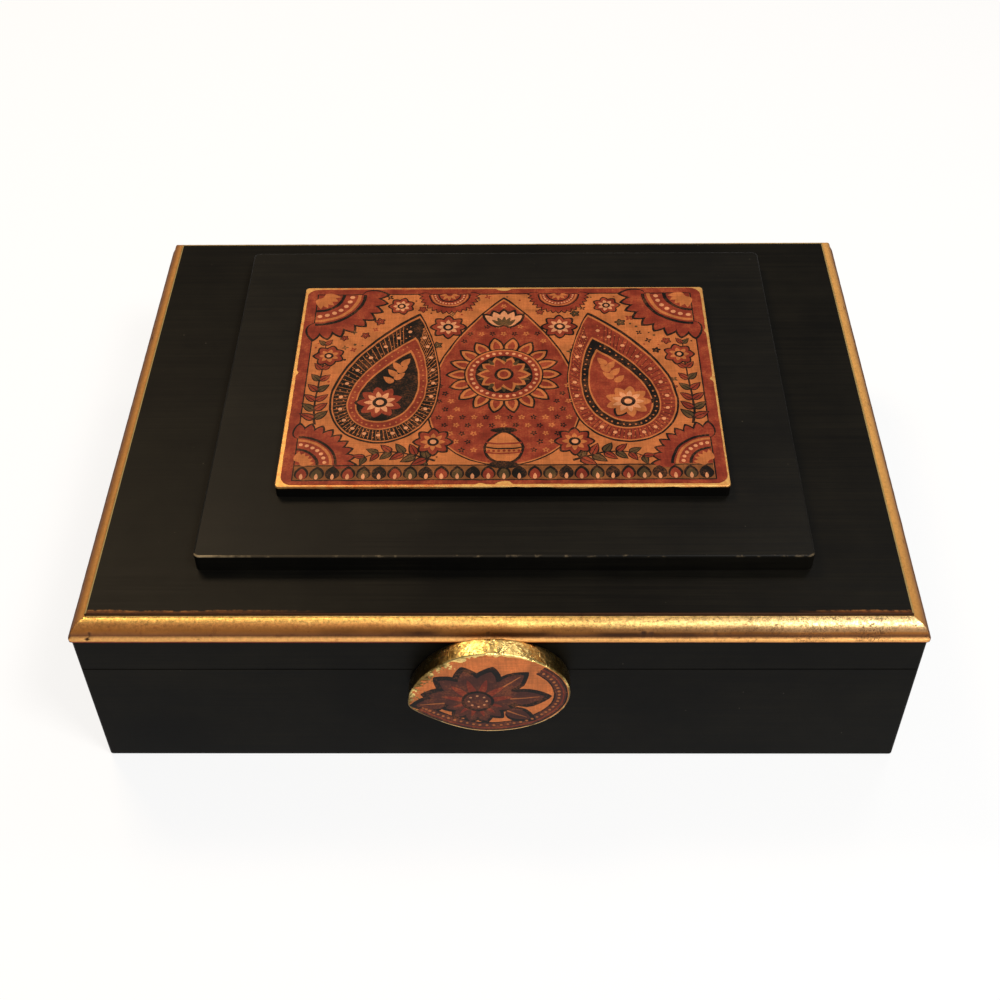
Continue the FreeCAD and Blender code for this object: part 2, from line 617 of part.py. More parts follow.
def hinge_screws(name, lid):
    """The screws of the leaves on the base, or on the lid."""
    level = RAIL_BOTTOM if lid else "dims.base_height"
    rotation = Rotation(Vector(1, 0, 0), 180 if lid else 0)
    screws = []
    for side, sign in SIDES.items():
        for end, step in SIDES.items():
            fixing = screw(f"{name}_{side}_{end}", "dims.hinge_screw_length", "dims.hinge_screw_radius",
                           "dims.hinge_screw_head")
            along = f"{sign} * {HINGE_X} + {step} * dims.hinge_screw_spacing / 2"
            place(fixing, along, f"{AXIS_Y} - {LEAF_SCREW_ROW}", level, rotation)
            screws.append(fixing)
    group(name, screws)


def make_hinges():
    """Two butt hinges let into the back edges, with their pins and screws."""
    for side in SIDES:
        hinge_leaf(f"hinge_{side}_base_leaf", side, lid=False)
        hinge_leaf(f"hinge_{side}_lid_leaf", side, lid=True)
        hinge_pin(f"hinge_{side}_pin", side)
    hinge_screws("base_hinge_screws", lid=False)
    hinge_screws("lid_hinge_screws", lid=True)


def check_model():
    """Stop if any object failed, any cut took nothing away or any sub-part's shape is broken."""
    doc.recompute()
    for item in doc.Objects:
        if "Invalid" in item.State or "Error" in item.State:
            raise RuntimeError(f"{item.Label} failed: {item.State}")
        if item.TypeId in ("PartDesign::Pocket", "PartDesign::Groove"):
            removed = item.BaseFeature.Shape.Volume - item.Shape.Volume
            if removed < TOLERANCE:
                raise RuntimeError(f"{item.Name} cuts nothing from {item.getParentGeoFeatureGroup().Label}")
    for piece in subparts:
        if piece.Shape.isNull() or not piece.Shape.isValid() or not piece.Shape.Solids:
            raise RuntimeError(f"{piece.Label} has no sound shape")


def write_parts():
    """Write every sub-part at its place to a file of its own."""
    os.makedirs("parts", exist_ok=True)
    for piece in subparts:
        piece.Shape.exportStep(os.path.join("parts", piece.Label + ".step"))
        print(f"{piece.Label}: {len(piece.Shape.Solids)} solids, {piece.Shape.Volume:.1f} mm3")


make_base()
make_lid()
make_mouldings()
make_top()
make_pull()
make_hinges()
check_model()
write_parts()
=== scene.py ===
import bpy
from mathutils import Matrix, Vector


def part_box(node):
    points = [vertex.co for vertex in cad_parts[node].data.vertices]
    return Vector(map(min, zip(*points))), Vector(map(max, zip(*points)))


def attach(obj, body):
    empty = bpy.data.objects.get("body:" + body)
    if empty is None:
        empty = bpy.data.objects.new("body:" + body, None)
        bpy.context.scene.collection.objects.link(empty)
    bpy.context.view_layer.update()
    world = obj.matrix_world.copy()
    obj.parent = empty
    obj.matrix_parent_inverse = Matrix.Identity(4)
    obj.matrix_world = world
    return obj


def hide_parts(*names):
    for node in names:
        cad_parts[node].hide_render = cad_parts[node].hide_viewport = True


bl_info = {
    "name": "Gilded Keepsake Box",
    "version": (1, 0, 0),
    "blender": (4, 5, 0),
    "location": "3D View > Sidebar > Keepsake Box",
    "description": "Finishes the black lacquered keepsake box: gilding, printed papers, felt and metal",
    "category": "Object",
}

import math
import random
from functools import partial

import bmesh
import bpy
from mathutils import Matrix, Vector, noise

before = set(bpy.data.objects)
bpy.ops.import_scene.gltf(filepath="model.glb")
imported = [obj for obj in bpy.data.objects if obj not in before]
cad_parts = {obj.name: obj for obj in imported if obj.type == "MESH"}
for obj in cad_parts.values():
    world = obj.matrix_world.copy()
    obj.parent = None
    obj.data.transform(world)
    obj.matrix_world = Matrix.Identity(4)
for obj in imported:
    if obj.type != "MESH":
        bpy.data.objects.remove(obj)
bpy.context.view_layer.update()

MM = 0.001
QUARTER = math.pi / 2
# CAD nodes that share a finish
WIDE_BOARDS = ("base_front_board", "base_back_board", "lid_front_rail", "lid_back_rail")
SIDE_BOARDS = ("base_left_board", "base_right_board", "lid_left_rail", "lid_right_rail")
BRASS_NODES = (
    "hinge_left_base_leaf", "hinge_right_base_leaf", "hinge_left_lid_leaf", "hinge_right_lid_leaf",
    "hinge_left_pin", "hinge_right_pin", "base_hinge_screws", "lid_hinge_screws",
)


def linear(hex_colour):
    """An sRGB colour written in hex as linear red, green and blue."""
    channels = [int(hex_colour[place:place + 2], 16) / 255 for place in (1, 3, 5)]
    return [c / 12.92 if c <= 0.04045 else ((c + 0.055) / 1.055) ** 2.4 for c in channels]


def colour_setting(what, hex_colour):
    """The colour of something, which a user can change."""
    return bpy.props.FloatVectorProperty(
        name=what.capitalize(), description=f"Colour of the {what}", subtype="COLOR", size=3, min=0, max=1,
        default=linear(hex_colour))


def length_setting(name, about, millimetres):
    """A length that a user can change."""
    return bpy.props.FloatProperty(
        name=name, description=about, subtype="DISTANCE", unit="LENGTH", min=0, precision=5,
        default=millimetres * MM)


def angle_setting(name, about, degrees):
    """An angle that a user can change."""
    return bpy.props.FloatProperty(
        name=name, description=about, subtype="ANGLE", unit="ROTATION", default=math.radians(degrees))


def power_setting(name, about, watts):
    """The power of a light that a user can change."""
    return bpy.props.FloatProperty(
        name=name, description=about, subtype="POWER", unit="POWER", min=0, default=watts)


def share_setting(name, about, share):
    """A share between 0 and 1 that a user can change."""
    return bpy.props.FloatProperty(
        name=name, description=about, subtype="FACTOR", min=0, max=1, default=share)


def count_setting(name, about, count):
    """A number of like marks that a user can change."""
    return bpy.props.IntProperty(name=name, description=about, min=0, default=count)


class LacquerSettings(bpy.types.PropertyGroup):
    """The black lacquer on the boards."""

    black: colour_setting("black lacquer", "#0b0a08")
    rubbed: colour_setting("lacquer where it is rubbed thin", "#16140f")
    # The worn colour also paints a glint along the raised panel's front edge.
    worn: colour_setting("ground that shows on worn edges", "#b9a079")
    dust: colour_setting("dust specks", "#8c8574")
    brush_width: length_setting("Brush mark", "Width of a brush mark", 0.7)
    brush_length: length_setting("Brush stroke", "Length of a brush mark", 60)
    sheen: share_setting("Sheen", "Strength of the lacquer's gloss", 0.051)
    raised_sheen: share_setting("Raised sheen", "Strength of the gloss on the raised panel", 0.086)
    wall_sheen: share_setting("Wall sheen", "Strength of the gloss on the upright boards", 0.04)


class GildingSettings(bpy.types.PropertyGroup):
    """The gilded mouldings round the lid."""

    leaf: colour_setting("dulled gold leaf", "#b97d42")
    # Painted highlight: the crown's colour stands in for the lamp's highlight on the round.
    crown_highlight_leaf: colour_setting("leaf where it is burnished", "#ecbc6a")
    # Painted shade: darker leaf low on the round.
    shaded_low_leaf: colour_setting("leaf low on the round", "#a3672f")
    # Painted highlight: the palest leaf, towards the back right.
    pale_leaf: colour_setting("leaf where it is palest, at the right", "#fff0c4")
    # Painted highlight on the front's lip; the side mouldings' lip takes painted shade instead.
    lip_leaf: colour_setting("leaf on the lip", "#f0b066")
    side_flat: colour_setting("flat of the side mouldings", "#8f7a4c")
    # Painted highlight on the side mouldings' crown.
    side_leaf: colour_setting("leaf on the side mouldings' crown", "#a6743c")
    side_flank: colour_setting("leaf on the side mouldings' flank", "#8a592a")
    # Painted shade low on the side mouldings and on their lip.
    side_shaded_low: colour_setting("leaf low on the side mouldings", "#70451d")
    side_lip: colour_setting("lip of the side mouldings", "#623c19")
    # Painted highlight at the back right of the side mouldings, and how far the leaf pales to it.
    side_pale: colour_setting("side leaf at the back right", "#cd9853")
    side_highlight_fading: share_setting("Side paling", "How far the side leaf pales at the back right", 0.9)
    side_polish: share_setting("Side polish", "Share of metal that is bare on the side mouldings", 0.3)
    # Painted shade: dark leaf in the hollow just above the lip.
    shaded_groove: colour_setting("dulled leaf above the lip", "#70462a")
    stray: colour_setting("glaze that strayed onto the panel", "#63391c")
    bole: colour_setting("red ground under the leaf", "#8c3d1e")
    # The glaze's colour also paints shade in the hollow of the round.
    glaze: colour_setting("brown glaze in the hollows", "#3a2110")
    edge: colour_setting("lip's lower edge", "#5e1f10")
    flat_width: length_setting("Flat", "Width of the flat beside the top panel", 0.6)
    round_radius: length_setting("Quarter round", "Radius of the quarter round", 5.2)
    lip_width: length_setting("Lip width", "Width of the lip below the quarter round", 1.2)
    lip_height: length_setting("Lip height", "Height of the lip beside the quarter round", 2)
    lip_slope: length_setting("Lip slope", "How far the lip slopes down to its outer edge", 1.1)
    lip_ease: length_setting("Lip rounding", "Rounding of the lip's lower edge", 0.2)
    unevenness: length_setting("Unevenness", "Depth of the hand-made unevenness", 0.16)
    nick_depth: length_setting("Nick depth", "Depth of the deepest nicks", 0.42)
    nicks: count_setting("Nicks", "Number of nicks on each moulding", 11)
    chip_place: length_setting("Chip", "Distance of the large chip from the front's left end", 7.2)
    chip_width: length_setting("Chip width", "Width of the large chip", 1.6)
    corner_wear: length_setting("Corner wear", "Radius of the worn mitred corners", 2)


class PrintSettings(bpy.types.PropertyGroup):
    """The printed papers on the plaque and the pull."""

    ochre: colour_setting("plaque print's ground", "#a76033")
    red: colour_setting("dark red ink", "#772a1a")
    dark: colour_setting("near-black ink", "#110b08")
    olive: colour_setting("olive-grey ink", "#45341d")
    cream: colour_setting("pink cream ink", "#c08058")
    earth: colour_setting("brown ground band", "#6f4120")
    orange: colour_setting("pull print's ground", "#ca723c")
    plum: colour_setting("purple-brown ink on the pull", "#4c251c")
    flake: colour_setting("gold paint where it is thin", "#c66f3b")
    rim: colour_setting("gold paint on the plaque's rim", "#dfae65")
    laid_aside: length_setting("Paper shift", "How far the plaque's paper lies to the right", 0.25)
    laid_turn: angle_setting("Paper turn", "How far the plaque's paper is turned", 0.25)
    paper_thick: length_setting("Paper", "Thickness of the printed paper", 0.15)
    ink_step: length_setting("Ink", "Thickness of one layer of ink", 0.0055)


class PullSettings(bpy.types.PropertyGroup):
    """The pebble-shaped pull."""

    leaf: colour_setting("crinkled leaf on the rim", "#ecca7c")
    # The tarnish's colour also paints shade towards the sides of the pull.
    tarnish: colour_setting("leaf where it is tarnished", "#5c4318")
    ground: colour_setting("dark ground in torn leaf", "#1a120a")
    tip_drop: length_setting("Tip", "How far the left tip hangs", 6.3)
    front_round: length_setting("Front rounding", "Rounding of the front edge", 0.6)
    back_round: length_setting("Back rounding", "Rounding of the back edge", 2)
    lip_gap: length_setting("Lip gap", "Gap between the pull's back and the moulding's lip", 0.4)
    relief: length_setting("Relief", "Gap between the pull's back and the base's wall", 0.5)
    crinkle: length_setting("Crinkles", "Depth of the crinkles in the leaf", 0.3)
    flakes: count_setting("Flakes", "Number of leaf flakes on the upper left of the print", 46)


class LiningSettings(bpy.types.PropertyGroup):
    """The felt inside the box."""

    felt: colour_setting("felt", "#5e1216")
    shade: colour_setting("felt between its fibres", "#2e070b")
    edge_ease: length_setting("Felt edge", "Width of the felt's rounded edge", 0.8)


class MetalSettings(bpy.types.PropertyGroup):
    """Hinges, screws and the plywood bottom."""

    brass: colour_setting("brass", "#b8903f")
    tarnish: colour_setting("tarnished brass", "#5f431d")
    brass_dulling: share_setting("Brass dulling", "Share of tarnish on the brass", 0.8)
    steel: colour_setting("steel screws", "#a8a7a3")
    dull_steel: colour_setting("steel where it is dull", "#6d6a64")
    steel_dulling: share_setting("Steel dulling", "Share of dull metal on the steel", 0.5)
    birch: colour_setting("birch plywood", "#b98f5c")
    birch_grain: colour_setting("birch's grain", "#8d6233")


class StageSettings(bpy.types.PropertyGroup):
    """Floor, light and camera."""

    floor: colour_setting("floor", "#f4f3f0")
    floor_glow: share_setting("Floor glow", "How far the floor is seen as plain white", 0.82)
    sky: colour_setting("light from all round and of the plain lamps", "#ffffff")
    sky_strength: share_setting("Room light", "Strength of the light from all round", 0.2)
    window: colour_setting("window light", "#ffe0b4")
    window_power: power_setting("Window light", "Power of the soft box at the back left", 8)
    ceiling_power: power_setting("Ceiling light", "Power of the soft box above the right side", 12)
    lamp_power: power_setting("Lamp light", "Power of the soft box at the back right", 2)
    fill_power: power_setting("Fill light", "Power of the soft box behind the camera", 2.3)
    lens: bpy.props.FloatProperty(
        name="Lens", description="Focal length in millimetres", subtype="DISTANCE_CAMERA", min=1,
        default=52.141)
    camera_place: bpy.props.FloatVectorProperty(
        name="Camera", description="Where the camera stands", subtype="TRANSLATION", unit="LENGTH", size=3,
        precision=5, default=(6.64 * MM, -435.87 * MM, 472.12 * MM))
    camera_pitch: angle_setting("Camera pitch", "How far the camera looks down", 45.82)
    camera_yaw: angle_setting("Camera yaw", "How far the camera looks to the left", 0.94)
    camera_roll: angle_setting("Camera roll", "How far the camera leans to the left", -0.76)


def add(tree, kind, *sources, stops=(), **named):
    """Add a node. sources feed its active inputs in order, as values, sockets or nodes, whose first output
    counts: a MapRange takes a value, the range it comes from and the range it goes to. What is named feeds
    the input of that name or, where there is none, sets the node's property. stops are the places and
    colours of a colour ramp."""
    node = tree.nodes.new(f"ShaderNode{kind}")
    inputs = {socket.name.lower().replace(" ", "_"): socket for socket in node.inputs}
    for name, value in named.items():
        if name not in inputs:
            setattr(node, name, value)
    feeds = list(zip((socket for socket in node.inputs if socket.enabled), sources))
    feeds += [(inputs[name], source) for name, source in named.items() if name in inputs]
    for socket, source in feeds:
        if isinstance(source, bpy.types.Node):
            source = next(output for output in source.outputs if output.enabled)
        if isinstance(source, bpy.types.NodeSocket):
            tree.links.new(source, socket)
        else:
            socket.default_value = (*source, 1) if socket.type == "RGBA" else source
    if stops:
        elements = node.color_ramp.elements
        while len(elements) < len(stops):
            elements.new(1)
        for element, (position, colour) in zip(elements, stops):
            element.position = position
            element.color = (*colour, 1)
    return node


def new_material(name):
    """An empty material, and the function that adds nodes to it."""
    material = bpy.data.materials.new(name)
    material.use_nodes = True
    material.node_tree.nodes.clear()
    return material, partial(add, material.node_tree)


def black_lacquer(settings, name, along, sheen, finish=None):
    """Brushed black lacquer on wood: near-black, satin, with faint streaks along the brush and dust specks.
    along is the axis of the brush marks, sheen the strength of its gloss; finish, where given, adds the
    marks of one board to its colour."""
    smear_size = 35 * MM
    dust_spacing = 5 * MM
    material, node = new_material(f"black_lacquer_{name}")
    place = node("TexCoord").outputs
    spot = place["Object"]
    scale = [1 / (settings.brush_length if axis == along else settings.brush_width) for axis in "xyz"]
    streak = node("TexNoise", node("Mapping", spot, scale=scale), 1, detail=4, roughness=0.6)
    smear = node("TexNoise", spot, 1 / smear_size, detail=4, roughness=0.6)
    rubbed = node("MapRange", node("Math", streak, smear, operation="MULTIPLY"), 0.16, 0.42)
    colour = node("Mix", rubbed, settings.black, settings.rubbed, data_type="RGBA")
    cells = node("TexVoronoi", spot, 1 / dust_spacing)
    chosen = node("MapRange", node("SeparateColor", cells.outputs["Color"]), 0.86, 0.9, 0, 0.3)
    speck = node("MapRange", cells, 0.05, 0.02, 0, chosen)
    surface = node("Mix", speck, colour, settings.dust, data_type="RGBA")
    if finish:
        surface = finish(node, place, surface)
    shader = node(
        "BsdfPrincipled", base_color=surface, specular_ior_level=sheen,
        roughness=node("MapRange", streak, 0.3, 0.7, 0.38, 0.48),
        normal=node("Bump", strength=0.12, distance=0.02 * MM, height=streak))
    node("OutputMaterial", shader)
    return material


def worn_and_glinting_front_edge(settings, node, place, surface):
    """Let the pale ground show along the raised panel's front edge where it is worn, and paint a glint in
    the same colour along that edge, strongest at its left corner and fading towards the right.
    """
    patch_size = 5 * MM
    lo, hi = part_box("raised_panel")
    across = node("SeparateXYZ", place["Object"])
    # Painted glint: more of the pale colour near the left corner and a faint line fading from left to
    # right; the patches are wear.
    left = node("MapRange", across, lo.x + 26 * MM, lo.x + 3 * MM, 0, 0.3)
    right = node("MapRange", across, hi.x - 18 * MM, hi.x, 0, 0.12)
    patches = node("TexNoise", place["Object"], 1 / patch_size, detail=5, roughness=0.65)
    thin = node("Math", patches, node("Math", left, right, operation="ADD"), operation="ADD")
    glint_line = node("MapRange", across, lo.x, lo.x + 150 * MM, 0.08, 0)
    rubbed = node("MapRange", thin, 0.57, 0.95, glint_line, 0.6)
    _, forward, upward = node("SeparateXYZ", place["Normal"]).outputs
    share = node("MapRange", upward, 0.2, 0.45, 0, node("MapRange", forward, -0.12, -0.3, 0, rubbed))
    return node("Mix", share, surface, settings.worn, data_type="RGBA")


def strayed_gilding(settings, node, place, surface):
    """Brown glaze with a broken line of leaf that strayed from the front moulding onto the top panel,
    towards the corners."""
    sway_size = 14 * MM
    crumb_size = 2.2 * MM
    lo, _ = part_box("lid_top_panel")
    spot = place["Object"]
    across, back, _ = node("SeparateXYZ", spot).outputs
    inward = node("Math", back, lo.y, operation="SUBTRACT")
    sway = node("TexNoise", spot, 1 / sway_size, detail=4, roughness=0.55)
    spare = node("Math", node("MapRange", sway, 0.3, 0.7, 0.6 * MM, 1.3 * MM), inward, operation="SUBTRACT")
    cornered = node("Math", node("MapRange", across, -60 * MM, -115 * MM),
                    node("MapRange", across, 105 * MM, 125 * MM), operation="MAXIMUM")
    crumbs = node("TexNoise", spot, 1 / crumb_size, detail=5, roughness=0.7)
    cover = node("MapRange", spare, 0, 0.2 * MM, 0, cornered)
    glazed = node("Math", cover, node("MapRange", crumbs, 0.4, 0.6, 0.45, 0.95), operation="MULTIPLY")
    brink = node("MapRange", node("Math", spare, operation="ABSOLUTE"), 0.35 * MM, 0.1 * MM, 0, cornered)
    line = node("Math", brink, node("MapRange", crumbs, 0.44, 0.6, 0, 0.36), operation="MULTIPLY")
    browned = node("Mix", glazed, surface, settings.stray, data_type="RGBA")
    return node("Mix", line, browned, settings.leaf, data_type="RGBA")


def place_on_section(node, girth, place, across, polish):
    """How far round the moulding's section a place lies, from 0 to 1. The bands of the leaf sway and fray,
    and by the share polish they spread inwards towards the right, so that the painted highlight on the
    crown reaches further down the round there."""
    sway_size = 14 * MM
    fray_size = 1.1 * MM
    around = node("Attribute", attribute_name="girth").outputs["Fac"]
    sway = node("TexNoise", place, 1 / sway_size, detail=4, roughness=0.55)
    fray = node("TexNoise", place, 1 / fray_size, detail=4, roughness=0.65)
    drift = node("Math", node("MapRange", sway, 0.25, 0.75, -0.5 * MM, 0.5 * MM),
                 node("MapRange", fray, 0.3, 0.7, -0.3 * MM, 0.3 * MM), operation="ADD")
    # Painted highlight: towards the right the bright crown band reaches further down the round.
    spread = node("MapRange", across, -50 * MM, 40 * MM, 0, -1.8 * MM * polish)
    shift = node("Math", spread, drift, operation="ADD")
    inner = node("MapRange", around, girth["round"] + 1.2 * MM, girth["round"] + 3 * MM, 0.1, 1)
    outer = node("MapRange", around, girth["ledge"] - 1.5 * MM, girth["ledge"], 1, 0.2)
    freedom = node("Math", inner, outer, operation="MULTIPLY")
    moved = node("Math", shift, freedom, around, operation="MULTIPLY_ADD")
    return node("MapRange", moved, 0, girth["end"])


def leaf_ramps(node, settings, girth, leaves, share):
    """Three ramps round the moulding's section: the colour of its leaf with painted light and shade, how
    bright its metal is and where painted shade falls on it."""
    flat_leaf, crown_leaf, flank_leaf, shaded_low_leaf, lip_leaf, _ = leaves
    crown, ledge, lip, brink = (girth[part] / girth["end"] for part in ("round", "ledge", "lip", "brink"))
    quirk = crown - 0.01
    depth = ledge - crown
    foot = brink + 0.2 * (1 - brink)
    # Painted light round the section: a highlight on the crown and, at the front, on the lip; shade low on
    # the round, just above the lip and, at the sides, on the lip.
    tone = node("ValToRGB", share, stops=(
        (0, flat_leaf), (quirk, flat_leaf), (crown + 0.02 * depth, crown_leaf),
        (crown + 0.22 * depth, crown_leaf), (crown + 0.44 * depth, flank_leaf),
        (crown + 0.78 * depth, shaded_low_leaf), (ledge + 0.4 * (lip - ledge), settings.shaded_groove),
        (lip + 0.4 * (brink - lip), lip_leaf), (brink, lip_leaf), (foot, settings.bole),
        (1, settings.edge)))
    # How bright the metal is, and where painted shade falls: deepest from low on the round down to the lip.
    levels = (
        ((0, 0), (quirk, 0.1), (crown + 0.03 * depth, 1), (crown + 0.3 * depth, 0.95),
         (crown + 0.6 * depth, 0.65), (ledge, 0.3), (lip, 0.5), (brink, 0.5), (foot, 0), (1, 0)),
        ((0, 0), (crown + 0.4 * depth, 0), (crown + 0.8 * depth, 1), (ledge, 1),
         (lip + 0.3 * (brink - lip), 0), (1, 0)),
    )
    shine, shadow = (
        node("ValToRGB", share, stops=[(where, (level, level, level)) for where, level in ramp])
        for ramp in levels)
    return tone, shine, shadow


def shaded_and_highlit_tone(node, settings, place, ramps, pale_leaf, highlight_fading):
    """The leaf's colour, darkened by a painted shade in the glaze's colour in the hollow round the middle,
    and by the share fading paled by a painted highlight towards the right and the back."""
    cloud_size = 22 * MM
    shade_centre_at = 15 * MM
    tone, shine, shadow = ramps
    across, back, _ = node("SeparateXYZ", place).outputs
    # Painted shade in the glaze's colour in the hollow of the round, strongest round 15 mm right of the
    # middle.
    aside = node("Math", node("Math", across, shade_centre_at, operation="SUBTRACT"), operation="ABSOLUTE")
    clouds = node("TexNoise", place, 1 / cloud_size, detail=3, roughness=0.5)
    dulling = node("Math", node("MapRange", aside, 140 * MM, 40 * MM, 0.1, 0.95),
                   node("MapRange", clouds, 0.4, 0.6, 0.55, 1), operation="MULTIPLY")
    glazed = node("Math", dulling, shadow, operation="MULTIPLY")
    dulled = node("Mix", glazed, tone, settings.glaze, data_type="RGBA")
    # Painted highlight: paler towards the right and the back, where the metal is bright.
    rearward = node("MapRange", back, -112 * MM, -20 * MM, 0.35, 1)
    paling = node("MapRange", across, 20 * MM, 130 * MM, 0, rearward)
    highlight_share = node("Math", paling, node("MapRange", shine, 0.55, 1, 0, highlight_fading), operation="MULTIPLY")
    return node("Mix", highlight_share, dulled, pale_leaf, data_type="RGBA")


def lost_leaf(node, place, across, grit, polish):
    """How far the leaf is lost: in cracks and pits towards the right, and in nicks anywhere."""
    crack_size = 1.5 * MM
    crazed_size = 13 * MM
    worming = node("TexNoise", place, 1 / crack_size, detail=3, roughness=0.6, distortion=1.2)
    from_seam = node("Math", node("Math", worming, 0.5, operation="SUBTRACT"), operation="ABSOLUTE")
    crazing = node("TexNoise", place, 1 / crazed_size, detail=3, roughness=0.5)
    crazed = node("MapRange", crazing, 0.48, 0.6, 0, 0.84 * polish)
    crack = node("MapRange", from_seam, 0.045, 0.012, 0,
                 node("MapRange", across, 20 * MM, 130 * MM, 0, crazed))
    pitted = node("MapRange", grit, 0.41, 0.33, 0, 0.75 * polish)
    pit = node("MapRange", across, -40 * MM, 100 * MM, 0, pitted)
    nick = node("Attribute", attribute_name="nick").outputs["Fac"]
    return node("Math", node("Math", crack, pit, operation="MAXIMUM"), node("MapRange", nick, 0.25, 0.8),
                operation="MAXIMUM")


def gilded_moulding(settings, girth, name, leaves, highlight_fading, polish):
    """Gold leaf on red bole over wood, with light and shade painted into its colour: a painted highlight on
    the round's crown and on the front's lip, painted shade low on the round, above the lip and on the side
    mouldings' lip, and dark in the quirk, in cracks and in nicks. Rubbed patches show the bole, and grit
    makes the bare metal glitter, with painted shade on it round a spot right of the middle. leaves are its
    colours on the flat, the crown, the flank, low on the round, on the lip and where its painted highlight
    is palest, fading is how far it pales, polish is the share of its metal that is still bare, and girth
    gives the distances along the section where its parts start."""
    patch_size = 3.2 * MM
    grit_size = 1.1 * MM
    shaded_spot_at = 58 * MM
    glint = 0.45 * polish
    matte = 0.3 * (1 - polish)
    material, node = new_material(name)
    place = node("TexCoord").outputs["Object"]
    across = node("SeparateXYZ", place)
    share = place_on_section(node, girth, place, across, polish)
    ramps = leaf_ramps(node, settings, girth, leaves, share)
    _, shine, _ = ramps
    painted_light_tone = shaded_and_highlit_tone(node, settings, place, ramps, leaves[-1], highlight_fading)
    patches = node("TexNoise", place, 1 / patch_size, detail=6, roughness=0.7)
    rubbed = node("MapRange", patches, 0.57, 0.72, 0, 0.55 * polish)
    reddened = node("Mix", rubbed, painted_light_tone, settings.bole, data_type="RGBA", blend_type="MULTIPLY")
    grit = node("TexNoise", place, 1 / grit_size, detail=4, roughness=0.75)
    # Painted shade: the bright metal is darker round 58 mm right of the middle, where the lamp's highlight
    # falls.
    from_shaded_spot = node("Math", node("Math", across, shaded_spot_at, operation="SUBTRACT"), operation="ABSOLUTE")
    sparkle = node("Math", node("MapRange", grit, 0.35, 0.65, 1 - glint, 1 + glint),
                   node("MapRange", from_shaded_spot, 30 * MM, 50 * MM, 0.7, 1), operation="MULTIPLY")
    sparkling = node("VectorMath", reddened, sparkle, operation="MULTIPLY")
    lively = node("Mix", node("MapRange", shine, 0.45, 0.9, 0.2, 1), reddened, sparkling, data_type="RGBA")
    lost = lost_leaf(node, place, across, grit, polish)
    metal = node("Math", shine, node("Math", rubbed, lost, operation="MAXIMUM"), operation="SUBTRACT",
                 use_clamp=True)
    shader = node(
        "BsdfPrincipled", base_color=node("Mix", lost, lively, settings.glaze, data_type="RGBA"),
        metallic=node("Math", metal, polish, operation="MULTIPLY"), specular_ior_level=0.12,
        roughness=node("MapRange", patches, 0.3, 0.7, 0.34 + matte, 0.5 + matte),
        normal=node("Bump", strength=0.8, distance=0.2 * MM, height=grit))
    node("OutputMaterial", shader)
    return material


def crinkled_leaf(settings):
    """Loose gold leaf on a carved pebble: bright crinkled metal on top, tarnished in patches with bright
    flecks, darkened towards the sides by a painted shade away from its brightest place, and torn in nicks."""
    patch_size = 5 * MM
    tear_size = 2.4 * MM
    fold_size = 2.2 * MM
    material, node = new_material("crinkled_gold_leaf")
    place = node("TexCoord").outputs["Object"]
    lo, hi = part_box("pull_body")
    # Painted shade: the leaf darkens towards the sides, away from its brightest place a little right of the
    # middle.
    brightest = (lo.x + hi.x) / 2 + 3 * MM
    aside = node("Math", node("SeparateXYZ", place), brightest, operation="SUBTRACT")
    side_shade = node("MapRange", node("Math", aside, operation="ABSOLUTE"), 10 * MM, 26 * MM, -0.08, 0.16)
    patches = node("TexNoise", place, 1 / patch_size, detail=6, roughness=0.68)
    dulled = node("MapRange", node("Math", patches, side_shade, operation="ADD"), 0.5, 0.64, 0, 0.9)
    colour = node("Mix", dulled, settings.leaf, settings.tarnish, data_type="RGBA")
    tears = node("TexNoise", place, 1 / tear_size, detail=6, roughness=0.75)
    torn = node("MapRange", tears, 0.66, 0.7)
    folds = node("TexNoise", place, 1 / fold_size, detail=3, distortion=1.4)
    shader = node(
        "BsdfPrincipled", base_color=node("Mix", torn, colour, settings.ground, data_type="RGBA"),
        metallic=node("MapRange", torn, 0, 1, 1, 0),
        roughness=node("MapRange", patches, 0.35, 0.65, 0.18, 0.42),
        normal=node("Bump", strength=0.7, distance=0.4 * MM, height=folds))
    node("OutputMaterial", shader)
    return material


def painted_board(lacquer, prints):
    """Board with black lacquered sides and a rim of gold paint, brushed on by hand over the top edge and,
    at the left, further down its sides. The paint is thin in patches and round a stain at the left."""
    sway_size = 12 * MM
    patch_size = 2.5 * MM
    material, node = new_material("painted_plaque_board")
    place = node("TexCoord").outputs["Object"]
    across, _, up = node("SeparateXYZ", place).outputs
    lo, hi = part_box("plaque_board")
    middle = (lo.x + hi.x) / 2
    stain = middle - 48 * MM
    sway = node("TexNoise", place, 1 / sway_size, detail=5, roughness=0.65)
    wrapped = node("MapRange", across, middle, middle - 30 * MM, 0, 0.3 * MM)
    drip = node("Math", node("MapRange", sway, 0.3, 0.75, -0.3 * MM, 0.7 * MM), wrapped, operation="ADD")
    moved = node("Math", up, drip, operation="ADD")
    painted = node("MapRange", moved, hi.z - 0.62 * MM, hi.z - 0.4 * MM)
    patches = node("TexNoise", place, 1 / patch_size, detail=5, roughness=0.7)
    from_stain = node("Math", node("Math", across, stain, operation="SUBTRACT"), operation="ABSOLUTE")
    thin = node("Math", node("MapRange", from_stain, 38 * MM, 16 * MM, 0, 0.5),
                node("MapRange", patches, 0.42, 0.7, 0, 0.7), operation="ADD")
    gold = node("Mix", thin, prints.rim, prints.flake, data_type="RGBA")
    shader = node(
        "BsdfPrincipled", base_color=node("Mix", painted, lacquer.black, gold, data_type="RGBA"),
        metallic=node("Math", painted, 0.6, operation="MULTIPLY"), roughness=0.36, specular_ior_level=0.1,
        normal=node("Bump", strength=0.4, distance=0.06 * MM, height=patches))
    node("OutputMaterial", shader)
    return material


